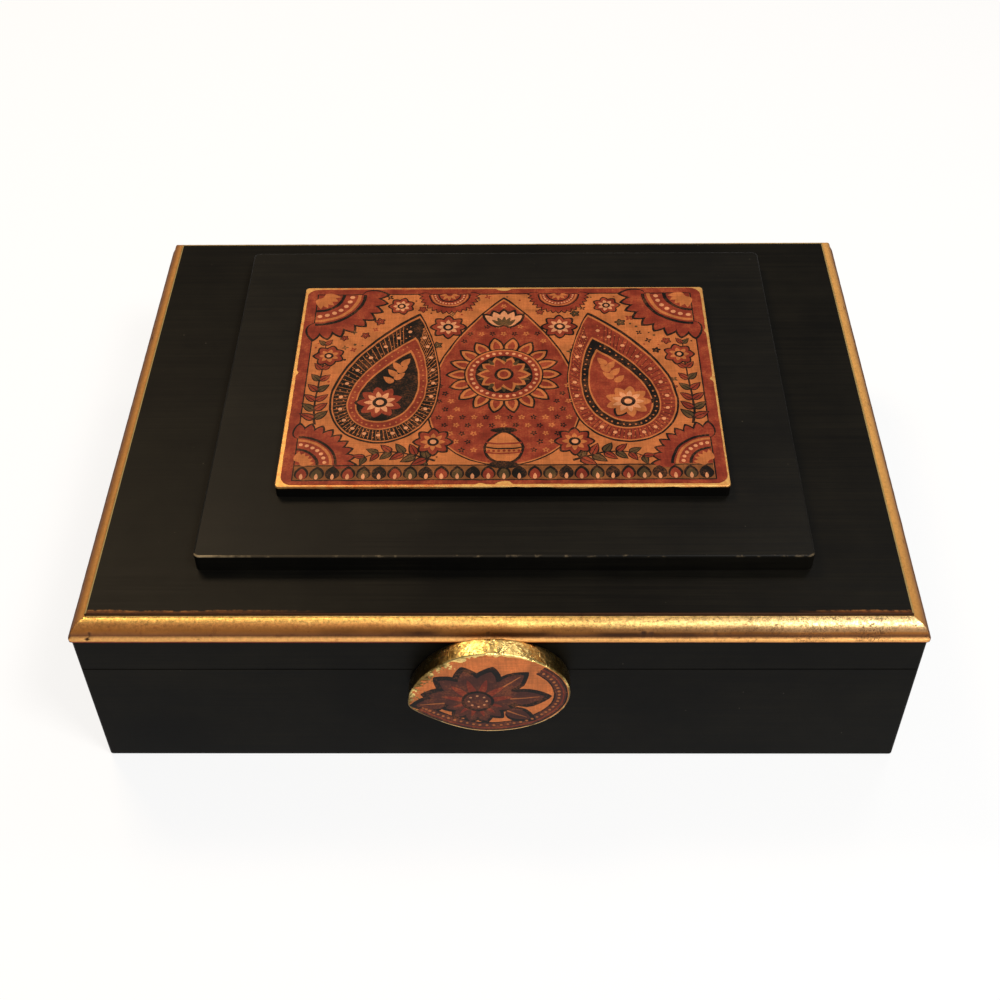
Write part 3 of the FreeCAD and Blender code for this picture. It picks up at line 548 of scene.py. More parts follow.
def printed_ink(name, colour, ground, wear):
    """Printing ink on canvas-like paper under old varnish: mottled, woven, rubbed through to the ground in
    fine specks and patches. wear is the share of ground in the most rubbed spots."""
    patch_size = 7 * MM
    grain_size = 0.8 * MM
    thread_width = 0.6 * MM
    thread_length = 9 * MM
    material, node = new_material(name)
    place = node("TexCoord").outputs["Object"]
    patches = node("TexNoise", place, 1 / patch_size, detail=5, roughness=0.6)
    grain = node("TexNoise", place, 1 / grain_size, detail=3, roughness=0.7)
    mottle = node("MapRange", patches, 0.3, 0.7, 0.65, 1.22)
    fine = 1 / thread_width
    long = 1 / thread_length
    warp, weft = (
        node("TexNoise", node("Mapping", place, scale=scale), 1, detail=2, roughness=0.6)
        for scale in ((long, fine, fine), (fine, long, long)))
    woven = node("MapRange", node("Math", warp, weft, operation="ADD"), 0.75, 1.25, 0.84, 1.16)
    tint = node("Math", mottle, woven, operation="MULTIPLY")
    toned = node("VectorMath", colour, tint, operation="MULTIPLY")
    rubbed = node("MapRange", node("Math", patches, grain, operation="MULTIPLY"), 0.24, 0.44, 0, wear)
    shader = node(
        "BsdfPrincipled", base_color=node("Mix", rubbed, toned, ground, data_type="RGBA"),
        roughness=node("MapRange", patches, 0.3, 0.7, 0.38, 0.52), specular_ior_level=0.12,
        normal=node("Bump", strength=0.3, distance=0.03 * MM, height=grain))
    node("OutputMaterial", shader)
    return material


def wool_felt(settings):
    """Pressed wool felt: matte, with a soft nap of crossing fibres and a little sheen."""
    fibre_size = 0.9 * MM
    cloud_size = 18 * MM
    material, node = new_material("wool_felt")
    place = node("TexCoord").outputs["Object"]
    fibres = node("TexNoise", place, 1 / fibre_size, detail=6, roughness=0.75, distortion=2.5)
    clouds = node("TexNoise", place, 1 / cloud_size, detail=3, roughness=0.6)
    nap = node("MapRange", node("Math", clouds, 0.35, fibres, operation="MULTIPLY_ADD"), 0.4, 0.85)
    shader = node(
        "BsdfPrincipled", base_color=node("Mix", nap, settings.shade, settings.felt, data_type="RGBA"),
        roughness=0.95, specular_ior_level=0.2, sheen_weight=0.35, sheen_tint=settings.felt,
        normal=node("Bump", strength=0.8, distance=0.3 * MM, height=fibres))
    node("OutputMaterial", shader)
    return material


def aged_metal(name, bright, dull, spread):
    """Bare metal that was rolled and drawn, fingered dull in patches; spread is the share of dull metal."""
    patch_size = 4 * MM
    line_length = 6 * MM
    line_width = 0.2 * MM
    material, node = new_material(name)
    place = node("TexCoord").outputs["Object"]
    patches = node("TexNoise", place, 1 / patch_size, detail=5, roughness=0.65)
    dulled = node("MapRange", patches, 0.4, 0.65, 0, spread)
    drawn = node("Mapping", place, scale=(1 / line_length, 1 / line_width, 1 / line_width))
    shader = node(
        "BsdfPrincipled", base_color=node("Mix", dulled, bright, dull, data_type="RGBA"), metallic=1,
        roughness=node("MapRange", patches, 0.35, 0.65, 0.24, 0.48),
        normal=node("Bump", strength=0.2, distance=0.02 * MM, height=node("TexNoise", drawn, 1, detail=2)))
    node("OutputMaterial", shader)
    return material


def birch_plywood(settings):
    """Rotary-cut birch plywood, bare: pale, with long wavering grain and a dry matte face."""
    grain_length = 90 * MM
    grain_width = 7 * MM
    pore_length = 5 * MM
    pore_width = 0.35 * MM
    material, node = new_material("birch_plywood")
    place = node("TexCoord").outputs["Object"]
    stretched = node("Mapping", place, scale=(1 / grain_length, 1 / grain_width, 1 / grain_width))
    grain = node("TexNoise", stretched, 1, detail=6, roughness=0.6, distortion=0.8)
    figure = node("MapRange", grain, 0.35, 0.68)
    pores = node("Mapping", place, scale=(1 / pore_length, 1 / pore_width, 1 / pore_width))
    shader = node(
        "BsdfPrincipled", roughness=0.7,
        base_color=node("Mix", figure, settings.birch, settings.birch_grain, data_type="RGBA"),
        normal=node("Bump", strength=0.4, distance=0.06 * MM, height=node("TexNoise", pores, 1, detail=3)))
    node("OutputMaterial", shader)
    return material


def pale_floor(settings):
    """A pale floor that the camera and reflections see near white, with the object's shadow kept."""
    material, node = new_material("pale_studio_floor")
    rays = node("LightPath").outputs
    direct = node("Math", rays["Is Camera Ray"], rays["Is Glossy Ray"], operation="MAXIMUM")
    seen = node("Math", direct, rays["Is Transmission Ray"], operation="MAXIMUM")
    share = node("Math", seen, settings.floor_glow, operation="MULTIPLY")
    matte = node("BsdfPrincipled", base_color=settings.floor, roughness=0.9)
    glow = node("Emission", (1, 1, 1), 1)
    node("OutputMaterial", node("MixShader", share, matte, glow))
    return material


def dress(material, nodes):
    """Give a material to nodes that keep their own shape."""
    for name in nodes:
        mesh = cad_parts[name].data
        mesh.materials.clear()
        mesh.materials.append(material)


def finish_piece(name, shape, material, body, replaced=(), smooth=True):
    """Turn modelled geometry into a piece that rides on a body and stands for CAD nodes."""
    mesh = bpy.data.meshes.new(name)
    shape.to_mesh(mesh)
    shape.free()
    mesh.materials.append(material)
    if smooth:
        mesh.shade_smooth()
    piece = bpy.data.objects.new(name, mesh)
    bpy.context.scene.collection.objects.link(piece)
    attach(piece, body)
    if replaced:
        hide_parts(*replaced)
    return piece


def waver(place, wavelength, octaves=3):
    """A smooth hand-made waver between -1 and 1 at a place."""
    return noise.fractal(Vector(place) / wavelength, 1.0, 2.0, octaves, noise_basis="PERLIN_ORIGINAL")


def extrude_all(shape):
    """Extrude all faces of a shape; returns the new vertices, which still lie on the old ones."""
    made = bmesh.ops.extrude_face_region(shape, geom=shape.faces[:])
    return [item for item in made["geom"] if isinstance(item, bmesh.types.BMVert)]


class PaintBoards(bpy.types.Operator):
    """Paint the boards, rails and panels with black lacquer"""

    bl_idname = "keepsake.paint_boards"
    bl_label = "Paint Boards"

    def execute(self, context):
        settings = context.scene.keepsake_lacquer
        strayed = partial(strayed_gilding, context.scene.keepsake_gilding)
        # The raised panel's front edge shows worn ground and a painted glint.
        worn = partial(worn_and_glinting_front_edge, settings)
        dress(black_lacquer(settings, "wide_boards", "x", settings.wall_sheen), WIDE_BOARDS)
        dress(black_lacquer(settings, "side_boards", "y", settings.wall_sheen), SIDE_BOARDS)
        dress(black_lacquer(settings, "top_panel", "x", settings.sheen, strayed), ["lid_top_panel"])
        dress(black_lacquer(settings, "raised_panel", "x", settings.raised_sheen, worn), ["raised_panel"])
        dress(painted_board(settings, context.scene.keepsake_print), ["plaque_board"])
        return {"FINISHED"}


def moulding_section(shape, settings, width, height):
    """Draw the moulding's section as a chain of edges from the top panel's edge over the round to the lip
    and back underneath; returns the distances along it where its parts start."""
    quirk_steps = 3
    round_steps = 16
    round_sweep = 0.9 * QUARTER
    lip_steps = 4
    ease_steps = 2
    girth = shape.verts.layers.float.new("girth")
    ledge = settings.lip_height
    ease = settings.lip_ease
    round_side = width - settings.flat_width
    quirk_depth = height - ledge - settings.round_radius
    chain = [shape.verts.new((0, width, height))]
    starts = {}

    def run(y, z):
        """A straight stretch."""
        end = bmesh.ops.extrude_vert_indiv(shape, verts=[chain[-1]])["verts"][0]
        end.co = (0, y, z)
        chain.append(end)

    def turn(y, z, angle, steps):
        """A rounded stretch about a centre."""
        before = len(shape.verts)
        bmesh.ops.spin(shape, geom=[chain[-1]], cent=(0, y, z), axis=(1, 0, 0), angle=angle, steps=steps)
        shape.verts.ensure_lookup_table()
        chain.extend(shape.verts[before:])

    def measure(name):
        """Note how far the chain has come."""
        starts[name] = sum((b.co - a.co).length for a, b in zip(chain, chain[1:]))

    run(round_side, height)
    for step in range(1, quirk_steps + 1):
        run(round_side, height - step / quirk_steps * quirk_depth)
    measure("round")
    turn(round_side, ledge, round_sweep, round_steps)
    measure("ledge")
    run(settings.lip_width, ledge)
    measure("lip")
    for step in range(1, lip_steps + 1):
        share = step / lip_steps
        run(settings.lip_width * (1 - share), ledge - settings.lip_slope * share)
    measure("brink")
    run(0, (ledge - settings.lip_slope) / 2)
    run(0, ease)
    turn(ease, ease, QUARTER, ease_steps)
    measure("end")
    run(width, 0)
    travelled = 0
    for before, vert in zip([chain[0]] + chain, chain):
        travelled += (vert.co - before.co).length
        vert[girth] = travelled
    shape.edges.new((chain[-1], chain[0]))
    return starts


def nick_places(draw, count, half_length, width):
    """Places, sizes and depths of small nicks along a moulding, on its lip and low on its round."""
    bands = (0.08, 0.2, 0.4)
    return [
        (draw.uniform(-0.95, 0.95) * half_length, draw.choice(bands) * width,
         draw.uniform(0.5, 1.1) * MM, draw.uniform(0.4, 0.9))
        for _ in range(count)
    ]


def moulding_strip(settings, half_length, half_span, turn, seed, chips):
    """A mitred strip of moulding, made lengthwise along X at the front and turned to its side; returns it
    with the distances along its section where its parts start."""
    cut_spacing = 0.9 * MM
    cut_slack = 1e-7
    lo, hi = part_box("moulding_front")
    width = hi.y - lo.y
    shape = bmesh.new()
    starts = moulding_section(shape, settings, width, hi.z - lo.z)
    bmesh.ops.contextual_create(shape, geom=shape.edges[:])
    bmesh.ops.translate(shape, verts=shape.verts, vec=(-half_length, -half_span, lo.z))
    bmesh.ops.translate(shape, verts=extrude_all(shape), vec=(2 * half_length, 0, 0))
    long_edges = [edge for edge in shape.edges if edge.calc_length() > half_length]
    bmesh.ops.subdivide_edges(shape, edges=long_edges, cuts=int(2 * half_length / cut_spacing))
    for end in (-1, 1):
        cut = bmesh.ops.bisect_plane(
            shape, geom=shape.verts[:] + shape.edges[:] + shape.faces[:], dist=cut_slack,
            plane_co=(end * half_length, -half_span, 0), plane_no=(end, 1, 0), clear_outer=True)
        rim = [item for item in cut["geom_cut"] if isinstance(item, bmesh.types.BMEdge)]
        bmesh.ops.contextual_create(shape, geom=rim)
    bmesh.ops.recalc_face_normals(shape, faces=shape.faces)
    nicks = nick_places(random.Random(seed), settings.nicks, half_length, width) + chips
    roughen_moulding(shape, settings, starts["end"], half_length, half_span, seed, nicks)
    bmesh.ops.rotate(shape, verts=shape.verts, cent=(0, 0, 0), matrix=Matrix.Rotation(turn, 3, "Z"))
    return shape, starts


def worn_corner(place, half_length, half_span, radius):
    """Where a place on a moulding lies once the mitred corner is worn round."""
    along = half_length - abs(place.x)
    inward = place.y + half_span
    away = Vector((radius - along, radius - inward))
    if min(away) <= 0 or away.length <= radius:
        return place
    away = away.normalized() * radius
    return Vector((
        math.copysign(half_length - radius + away.x, place.x), radius - half_span - away.y, place.z))


def roughen_moulding(shape, settings, visible, half_length, half_span, seed, nicks):
    """Press hand-made unevenness and nicks into the part of a moulding that shows, and wear its corners."""
    swells = (14 * MM, 2.6 * MM)
    swell_share = 0.25
    mean_dent = 0.35
    nick_stretch = 1.6
    nick_squeeze = 1.5
    girth = shape.verts.layers.float["girth"]
    broken = shape.verts.layers.float.new("nick")
    shape.normal_update()
    shifts = []
    for vert in shape.verts:
        if vert[girth] > visible:
            continue
        vert.co = worn_corner(vert.co, half_length, half_span, settings.corner_wear)
        here = vert.co
        key = here + Vector((seed, 0, 0))
        dent = settings.unevenness * sum((swell_share * waver(key, swell) for swell in swells), mean_dent)
        for along, across, radius, share in nicks:
            away = math.hypot(
                (here.x - along) / nick_stretch, (here.y + half_span - across) * nick_squeeze) / radius
            if away < 1:
                dent += settings.nick_depth * share * (1 - away ** 2) ** 2
                vert[broken] = max(vert[broken], share * (1 - away ** 2))
        shifts.append((vert, -max(dent, 0) * vert.normal))
    for vert, shift in shifts:
        vert.co += shift


class GildMouldings(bpy.types.Operator):
    """Build the four gilded mouldings round the lid"""

    bl_idname = "keepsake.gild_mouldings"
    bl_label = "Gild Mouldings"

    def execute(self, context):
        settings = context.scene.keepsake_gilding
        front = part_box("moulding_front")
        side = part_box("moulding_left")
        half_width = (front[1].x - front[0].x) / 2
        half_depth = (side[1].y - side[0].y) / 2
        # Each finish lists its leaf colours round the section; they paint a highlight on the crown, shade
        # low on the round and a pale highlight at the back right.
        finishes = {
            "front": (("glaze", "crown_highlight_leaf", "leaf", "shaded_low_leaf", "lip_leaf", "pale_leaf"), 1, 1),
            "side": (("side_flat", "side_leaf", "side_flank", "side_shaded_low", "side_lip", "side_pale"),
                     settings.side_highlight_fading, settings.side_polish),
        }
        strips = (
            ("moulding_front", "front", half_width, half_depth, 0),
            ("moulding_right", "side", half_depth, half_width, QUARTER),
            ("moulding_back", "side", half_width, half_depth, 2 * QUARTER),
            ("moulding_left", "side", half_depth, half_width, -QUARTER),
        )
        chip_depth = 1.2
        chip = (
            settings.chip_place - half_width, settings.lip_width / 2, settings.chip_width / 2, chip_depth)
        materials = {}
        for seed, (node, finish, half_length, half_span, turn) in enumerate(strips, 1):
            chips = [chip] if finish == "front" else []
            shape, girth = moulding_strip(settings, half_length, half_span, turn, seed, chips)
            if finish not in materials:
                leaves, highlight_fading, polish = finishes[finish]
                colours = [getattr(settings, leaf) for leaf in leaves]
                materials[finish] = gilded_moulding(
                    settings, girth, f"gilded_{finish}_moulding", colours, highlight_fading, polish)
            finish_piece(f"gilded_{node}", shape, materials[finish], "lid", [node])
        return {"FINISHED"}


def on_circle(at, radius, angle):
    """A place on a circle."""
    return at[0] + radius * math.cos(angle), at[1] + radius * math.sin(angle)


def bezier(*points):
    """A smooth path through two ends, led by two handles."""
    def path(t):
        weights = ((1 - t) ** 3, 3 * t * (1 - t) ** 2, 3 * t * t * (1 - t), t ** 3)
        return tuple(sum(w * p[axis] for w, p in zip(weights, points)) for axis in (0, 1))
    return path


def level_path(half_width, height):
    """A straight path from left to right."""
    return lambda t: (half_width * (2 * t - 1), height)


def even(width):
    """A stroke of one width."""
    return lambda t: width


def tapered(width, end=0.35):
    """A stroke that thins towards its end."""
    return lambda t: width * (1 - (1 - end) * t)


class InkSheet:
    """Thin layers of ink on a paper, drawn in millimetres on its plane, with one mesh for each ink."""

    # Golden steps keep the marks of a layer apart in height, within this share of the layer
    golden_step = 0.618
    layer_fill = 0.9
    # Wavelengths and reaches of the waver in a hand's lines, and its seed
    hand_wavers = ((5, 0.28), (1.3, 0.09))
    hand_seed = 11

    def __init__(self, inks):
        self.shapes = {ink: bmesh.new() for ink in inks}
        self.side = 1
        self.drawn = 0

    def level(self, layer):
        """The height of the next mark in a layer, so that no two marks lie in one plane."""
        self.drawn += 1
        return layer + self.drawn * self.golden_step % 1 * self.layer_fill

    def blob(self, ink, layer, outline, segments):
        """A filled spot; outline turns a point of the unit circle into a place on the paper."""
        ring = bmesh.ops.create_circle(self.shapes[ink], cap_ends=True, segments=segments, radius=1)
        height = self.level(layer)
        for vert in ring["verts"]:
            x, y = outline(vert.co.x, vert.co.y)
            vert.co = (self.side * x, y, height)

    def stroke(self, ink, layer, path, width, steps=16):
        """A line of ink along path, a function from 0 to 1; width is a function of the same share."""
        nearby = 0.01
        strip = bmesh.ops.create_grid(self.shapes[ink], x_segments=steps, y_segments=1, size=1)
        height = self.level(layer)
        for vert in strip["verts"]:
            along = (vert.co.x + 1) / 2
            here = Vector(path(along))
            ahead = Vector(path(min(along + nearby, 1))) - Vector(path(max(along - nearby, 0)))
            aside = Vector((-ahead.y, ahead.x)).normalized() * width(along) / 2 * vert.co.y
            vert.co = (self.side * (here.x + aside.x), here.y + aside.y, height)

    def disc(self, ink, layer, at, radius, segments=22):
        """A round spot."""
        self.blob(ink, layer, lambda x, y: (at[0] + radius * x, at[1] + radius * y), segments)

    def petal(self, ink, layer, at, angle, length, width, point=0.5, segments=18):
        """A petal or leaf from its root outwards; point sharpens its tip."""
        cos, sin = math.cos(angle), math.sin(angle)

        def outline(x, y):
            along = (x + 1) / 2 * length
            aside = y * width / 2 * max((1 - x) / 2, 0) ** point * (1 + point)
            return at[0] + along * cos - aside * sin, at[1] + along * sin + aside * cos

        self.blob(ink, layer, outline, segments)

    def petals(self, ink, layer, at, count, root, length, width, start=0.0, sweep=math.tau, point=0.5):
        """A ring of petals, or a fan of them where sweep is less than a full turn."""
        steps = count if sweep >= math.tau else count - 1
        for number in range(count):
            angle = start + sweep * number / steps
            self.petal(ink, layer, on_circle(at, root, angle), angle, length, width, point)

    def rosette(self, layer, at, size, count, rows, **fan):
        """Rows of petals one upon the other; each has an ink, then its root, length and width in shares of
        size, and its point."""
        for level, (ink, root, length, width, point) in enumerate(rows, layer):
            self.petals(ink, level, at, count, size * root, size * length, size * width, point=point, **fan)

    def rings(self, layer, at, radius, discs):
        """Discs one upon the other; each has an ink, its share of the radius and its number of corners."""
        for level, (ink, share, segments) in enumerate(discs, layer):
            self.disc(ink, level, at, radius * share, segments)

    def dots(self, ink, layer, places, radius):
        """Round dots at several places."""
        for at in places:
            self.disc(ink, layer, at, radius, segments=10)

    def arc(self, ink, layer, at, radius, width, start, sweep):
        """A line of even width along a circle."""
        self.stroke(ink, layer, lambda t: on_circle(at, radius, start + sweep * t), even(width), steps=40)

    def press(self, name, settings, materials, matrix):
        """Waver the inks as a hand would, give them their thickness and lay them on the lid as pieces."""
        noise.seed_set(self.hand_seed)
        for ink, shape in self.shapes.items():
            for vert in shape.verts:
                wavers = (noise.noise_vector(vert.co / wave) * reach for wave, reach in self.hand_wavers)
                shift = sum(wavers, Vector())
                vert.co.x += shift.x
                vert.co.y += shift.y
            tops = set(extrude_all(shape))
            for vert in shape.verts:
                layer = vert.co.z if vert in tops else 0
                vert.co.z = (settings.paper_thick + layer * settings.ink_step) / MM
            bmesh.ops.recalc_face_normals(shape, faces=shape.faces)
            bmesh.ops.transform(shape, matrix=matrix, verts=shape.verts)
            finish_piece(f"{name}_{ink}_ink", shape, materials[ink], "lid", smooth=False)


def boteh(at, length, width, bend, scale):
    """The outline of a curved drop: round below, its tip bending aside above."""
    sharp = 0.42
    swell = 1.32
    curl = 2.4
    lift = 0.35

    def outline(x, y):
        rise = (x + 1) / 2
        aside = y * width / 2 * max((1 - x) / 2, 0) ** sharp * swell
        return (at[0] + scale * aside + bend * (scale * rise + 1 - scale) ** curl - bend * (1 - scale) ** 2,
                at[1] + scale * (x + lift) * length / 2)
    return outline


def round_drop(gap, count, steps):
    """Points of the unit circle from one side of a drop's tip to the other; gap is the angle left clear."""
    angles = (gap + (math.tau - 2 * gap) * number / steps for number in range(count))
    return [(math.cos(angle), math.sin(angle)) for angle in angles]


def leafy_stem(sheet, path, leaves, length, fills, layer=3):
    """A stem with veined leaves on both sides of it, smaller and closer to it towards its end."""
    stem_width = 1.1
    bare_foot = 0.7
    nearby = 0.02
    sheet.stroke("dark", layer, path, tapered(stem_width), steps=28)
    for number in range(leaves):
        t = (number + bare_foot) / leaves
        here = path(t)
        ahead = path(min(t + nearby, 1))
        heading = math.atan2(ahead[1] - here[1], ahead[0] - here[0])
        size = length * (1.05 - 0.4 * t)
        for hand in (-1, 1):
            angle = heading + hand * (0.95 - 0.3 * t)
            tip = on_circle(here, size * 0.8, angle)
            sheet.petal("dark", layer + 1, here, angle, size, size * 0.5)
            fill = fills[(number + (hand > 0)) % len(fills)]
            root = on_circle(here, size * 0.08, angle)
            sheet.petal(fill, layer + 2, root, angle, size * 0.82, size * 0.36)
            sheet.stroke("dark", layer + 3, bezier(here, here, tip, tip), tapered(size * 0.07), steps=4)


def flower(sheet, at, radius, count, outer, inner, layer):
    """A small flower: outlined petals, a second row and a dotted heart, in shares of its radius."""
    spread = 4.6 / count
    sheet.rosette(layer, at, radius, count, (
        ("dark", 0.1, 0.95, 1.15 * spread, 0.2), (outer, 0.2, 0.72, 0.85 * spread, 0.2),
        (inner, 0.22, 0.42, 0.4 * spread, 0.4)))
    sheet.rings(layer + 3, at, radius, (("dark", 0.3, 22), ("cream", 0.16, 12)))


def medallion(sheet, at, radius):
    """The lotus medallion in the middle of the plaque, in shares of its radius."""
    outer_petals = 18
    inner_petals = 10
    dots = 30
    sheet.rosette(6, at, radius, outer_petals, (
        ("dark", 0.6, 0.42, 0.26, 0.35), ("ochre", 0.62, 0.35, 0.2, 0.35), ("red", 0.66, 0.24, 0.11, 0.4)))
    sheet.rings(8, at, radius, (("dark", 0.69, 48), ("ochre", 0.665, 48), ("red", 0.635, 48)))
    ring = [on_circle(at, radius * 0.57, math.tau * number / dots) for number in range(dots)]
    sheet.dots("cream", 11, ring, radius * 0.032)
    sheet.rings(11, at, radius, (("dark", 0.5, 44),))
    sheet.rosette(12, at, radius, inner_petals, (
        ("ochre", 0.1, 0.37, 0.24, 0.4), ("red", 0.14, 0.27, 0.14, 0.4)))
    between = math.pi / inner_petals
    sheet.rosette(12, at, radius, inner_petals, (("olive", 0.3, 0.17, 0.07, 0.4),), start=between)
    sheet.rings(14, at, radius, (("dark", 0.17, 28), ("ochre", 0.12, 22), ("red", 0.08, 18)))


def drop_motif(sheet, at, length, width, bend, body_ink, heart_ink):
    """A large curved drop with banded edges, dotted lines, a leafy heart and a flower in its belly."""
    hatches = 80
    drop = partial(boteh, at, length, width, bend)
    bands = ((1.0, "dark"), (0.965, "ochre"), (0.94, body_ink), (0.7, "ochre"), (0.675, heart_ink))
    for layer, (scale, ink) in enumerate(bands, 6):
        sheet.blob(ink, layer, drop(scale), segments=84)
    for scale, ink, count, radius in ((0.82, "cream", 22, 0.85), (0.88, "ochre", 64, 0.32),
                                      (0.76, "ochre", 56, 0.32), (0.62, "ochre", 40, 0.4)):
        line = drop(scale)
        sheet.dots(ink, 11, [line(*point) for point in round_drop(0.4, count, count)], radius)
    outer, inner = drop(0.93), drop(0.71)
    hatch_ink = "ochre" if body_ink == "dark" else "dark"
    for point in round_drop(0.55, hatches, hatches - 1):
        start, end = outer(*point), inner(*point)
        sheet.stroke(hatch_ink, 9, bezier(start, start, end, end), even(0.22), steps=3)
    heart = drop(0.52)
    sheet.blob("ochre", 11, drop(0.55), segments=60)
    sheet.blob(body_ink, 12, heart, segments=60)
    for rise, lean in ((0.1, 0.8), (0.2, -0.8), (0.3, 0.7), (0.4, -0.7), (0.5, 0.6), (0.6, -0.6)):
        sheet.petal("ochre", 13, heart(rise, 0), QUARTER - lean, length * 0.07, length * 0.035)
    belly = (at[0] - bend * 0.05, at[1] - length * 0.03)
    petal_ink = "red" if body_ink == "dark" else "ochre"
    flower(sheet, belly, width * 0.24, count=9, outer=petal_ink, inner="cream", layer=12)


def corner_fan(sheet, at, radius, start, sweep=QUARTER):
    """A part of a rosette that fills a corner or grows from an edge, in shares of its radius."""
    petals = 2 * round(4 * sweep / QUARTER) + 1
    dots = petals - 2
    margin = 0.16
    sheet.rosette(3, at, radius, petals, (("dark", 0.62, 0.4, 0.22, 0.3), ("red", 0.63, 0.34, 0.17, 0.3)),
                  start=start, sweep=sweep)
    for ink, layer, share, width in (
            ("red", 5, 0.33, 0.66), ("dark", 6, 0.66, 0.05), ("ochre", 6, 0.58, 0.05)):
        sheet.arc(ink, layer, at, radius * share, radius * width, start, sweep)
    places = [on_circle(at, radius * 0.48, start + sweep * (number + 0.5) / dots) for number in range(dots)]
    sheet.dots("cream", 7, places, radius * 0.035)
    sheet.arc("dark", 6, at, radius * 0.36, radius * 0.05, start, sweep)
    sheet.rosette(7, at, radius, 5, (("ochre", 0.08, 0.24, 0.1, 0.5),),
                  start=start + margin, sweep=sweep - 2 * margin)


def vase(sheet, at, height):
    """A footed vase, in shares of its height."""
    def belly(scale):
        return lambda x, y: (at[0] + scale * 0.42 * height * y * (1 - 0.45 * max(x, 0) ** 1.5),
                             at[1] + 0.5 * height + scale * 0.5 * height * x)
    sheet.blob("dark", 7, belly(1), segments=36)
    sheet.blob("ochre", 8, belly(0.86), segments=36)
    reach = 0.36 * height
    sag = 1
    for level, ink in ((0.36, "red"), (0.5, "dark"), (0.64, "red")):
        y = at[1] + level * height
        left, right = at[0] - reach, at[0] + reach
        handles = ((at[0] - reach / 2, y - sag), (at[0] + reach / 2, y - sag))
        sheet.stroke(ink, 9, bezier((left, y), *handles, (right, y)), even(0.8))
    dotted = [(at[0] + 0.1 * height * number, at[1] + 0.43 * height - 0.6) for number in range(-3, 4)]
    sheet.dots("red", 10, dotted, 0.6)
    for left, rise, length, width in ((0.3, 0, 0.6, 0.22), (0.27, 1, 0.54, 0.16)):
        foot = (at[0] - left * height, at[1] + rise * height)
        sheet.petal("dark", 9, foot, 0, length * height, width * height, 0)


def half_garden(sheet, half_width, low, high, swap):
    """What grows on one side of the plaque; swap trades the inks of its large motifs."""
    body_ink, heart_ink = ("red", "dark") if swap else ("dark", "red")
    drop_motif(sheet, at=(48, -11), length=79, width=41, bend=-13, body_ink=body_ink, heart_ink=heart_ink)
    corner_fan(sheet, (half_width, high), radius=30, start=math.pi)
    corner_fan(sheet, (half_width, low + 8), radius=23, start=QUARTER)
    upright = bezier((73, -26), (76, -14), (72, 2), (73, 24))
    lying = bezier((26, low + 10), (34, -43), (44, -38), (54, -45))
    leafy_stem(sheet, upright, leaves=8, length=7, fills=("red", "olive", "red"))
    leafy_stem(sheet, lying, leaves=6, length=7.5, fills=("red", "olive"))
    for at, radius, count, inner, layer in (
            ((23, 33), 7.5, 8, "cream", 11), ((27, -36), 7.6, 8, "ochre", 11),
            ((71, 15), 6.4, 7, "ochre", 8), ((43, 47), 5.6, 7, "cream", 8)):
        flower(sheet, at, radius, count, "red", inner, layer)
    corner_fan(sheet, (23, high), radius=13, start=math.pi, sweep=math.pi)


def arch(sheet, low, high):
    """The pointed arch behind the medallion, strewn with sprigs, with a bud at its tip."""
    foot = low + 7
    tall = high - low - 9
    wide = 54
    sharp = 0.42
    pitch = 4.6
    rows = 21
    columns = 6
    for layer, (ink, shrink) in enumerate((("dark", 0), ("ochre", 1.2), ("red", 2.2)), 3):
        root = (0, foot + shrink / 2)
        sheet.petal(ink, layer, root, QUARTER, tall - 1.6 * shrink, wide - shrink, sharp, segments=72)
    for row in range(rows):
        for column in range(-columns, columns + 1):
            at = ((column + row % 2 / 2) * pitch, foot + 4 + row * pitch)
            rise = 2 * (at[1] - foot) / tall - 1
            swell = math.sqrt(max(1 - rise * rise, 0)) * max((1 - rise) / 2, 0) ** sharp
            reach = wide / 2 * swell * (1 + sharp)
            by_medallion = math.hypot(at[0], at[1] - 3) < 25
            by_vase = at[1] < low + 28 and abs(at[0]) < 10
            if abs(at[0]) < reach - 4 and not by_medallion and not by_vase:
                ink = ("ochre", "dark")[(row + column) % 2]
                sheet.petals(ink, 6, at, 5, root=0.3, length=1.1, width=0.7, start=0.3 * row, point=0.2)
    bud = (0, high - 22)
    sheet.rosette(7, bud, 1, 5, (
        ("dark", 0.5, 12, 6, 0.3), ("cream", 1.5, 9.4, 3.8, 0.3), ("olive", 1.5, 5.4, 2, 0.3)),
        start=QUARTER / 2, sweep=QUARTER)


def petal_band(sheet, half_width, low, height):
    """A row of lotus petals along the foot of the plaque."""
    count = 27
    pitch = 2 * half_width / count
    sheet.stroke("earth", 3, level_path(half_width, low + height / 2), even(height), steps=60)
    sheet.stroke("dark", 4, level_path(half_width, low + height), even(0.6), steps=60)
    for number in range(count):
        foot = (-half_width + pitch * (number + 0.5), low + 0.2)
        fill = ("red", "olive", "dark")[number % 3]
        for layer, (ink, length, width) in enumerate(
                (("dark", 0.92, 0.9), (fill, 0.74, 0.66), ("cream", 0.4, 0.22)), 5):
            sheet.petal(ink, layer, foot, QUARTER, height * length, pitch * width, 0.25)


def filled_circles(half_width, low, high):
    """Circles that the large motifs of the plaque fill: places and reaches."""
    middle = [(0, y, reach) for y, reach in ((-34, 26), (-12, 29), (8, 27), (26, 19), (42, 10))]
    half = (
        (48, -20, 22), (47, 2, 19), (43, 20, 13), (38, 34, 8), (half_width, high, 29), (73, -18, 5),
        (74, -6, 5), (73, 6, 5), (half_width, low + 8, 23), (27, -36, 7), (23, 33, 7), (71, 15, 6),
        (23, high, 12), (43, 47, 6), (44, -44, 6))
    return middle + [(side * x, y, reach) for side in (-1, 1) for x, y, reach in half]


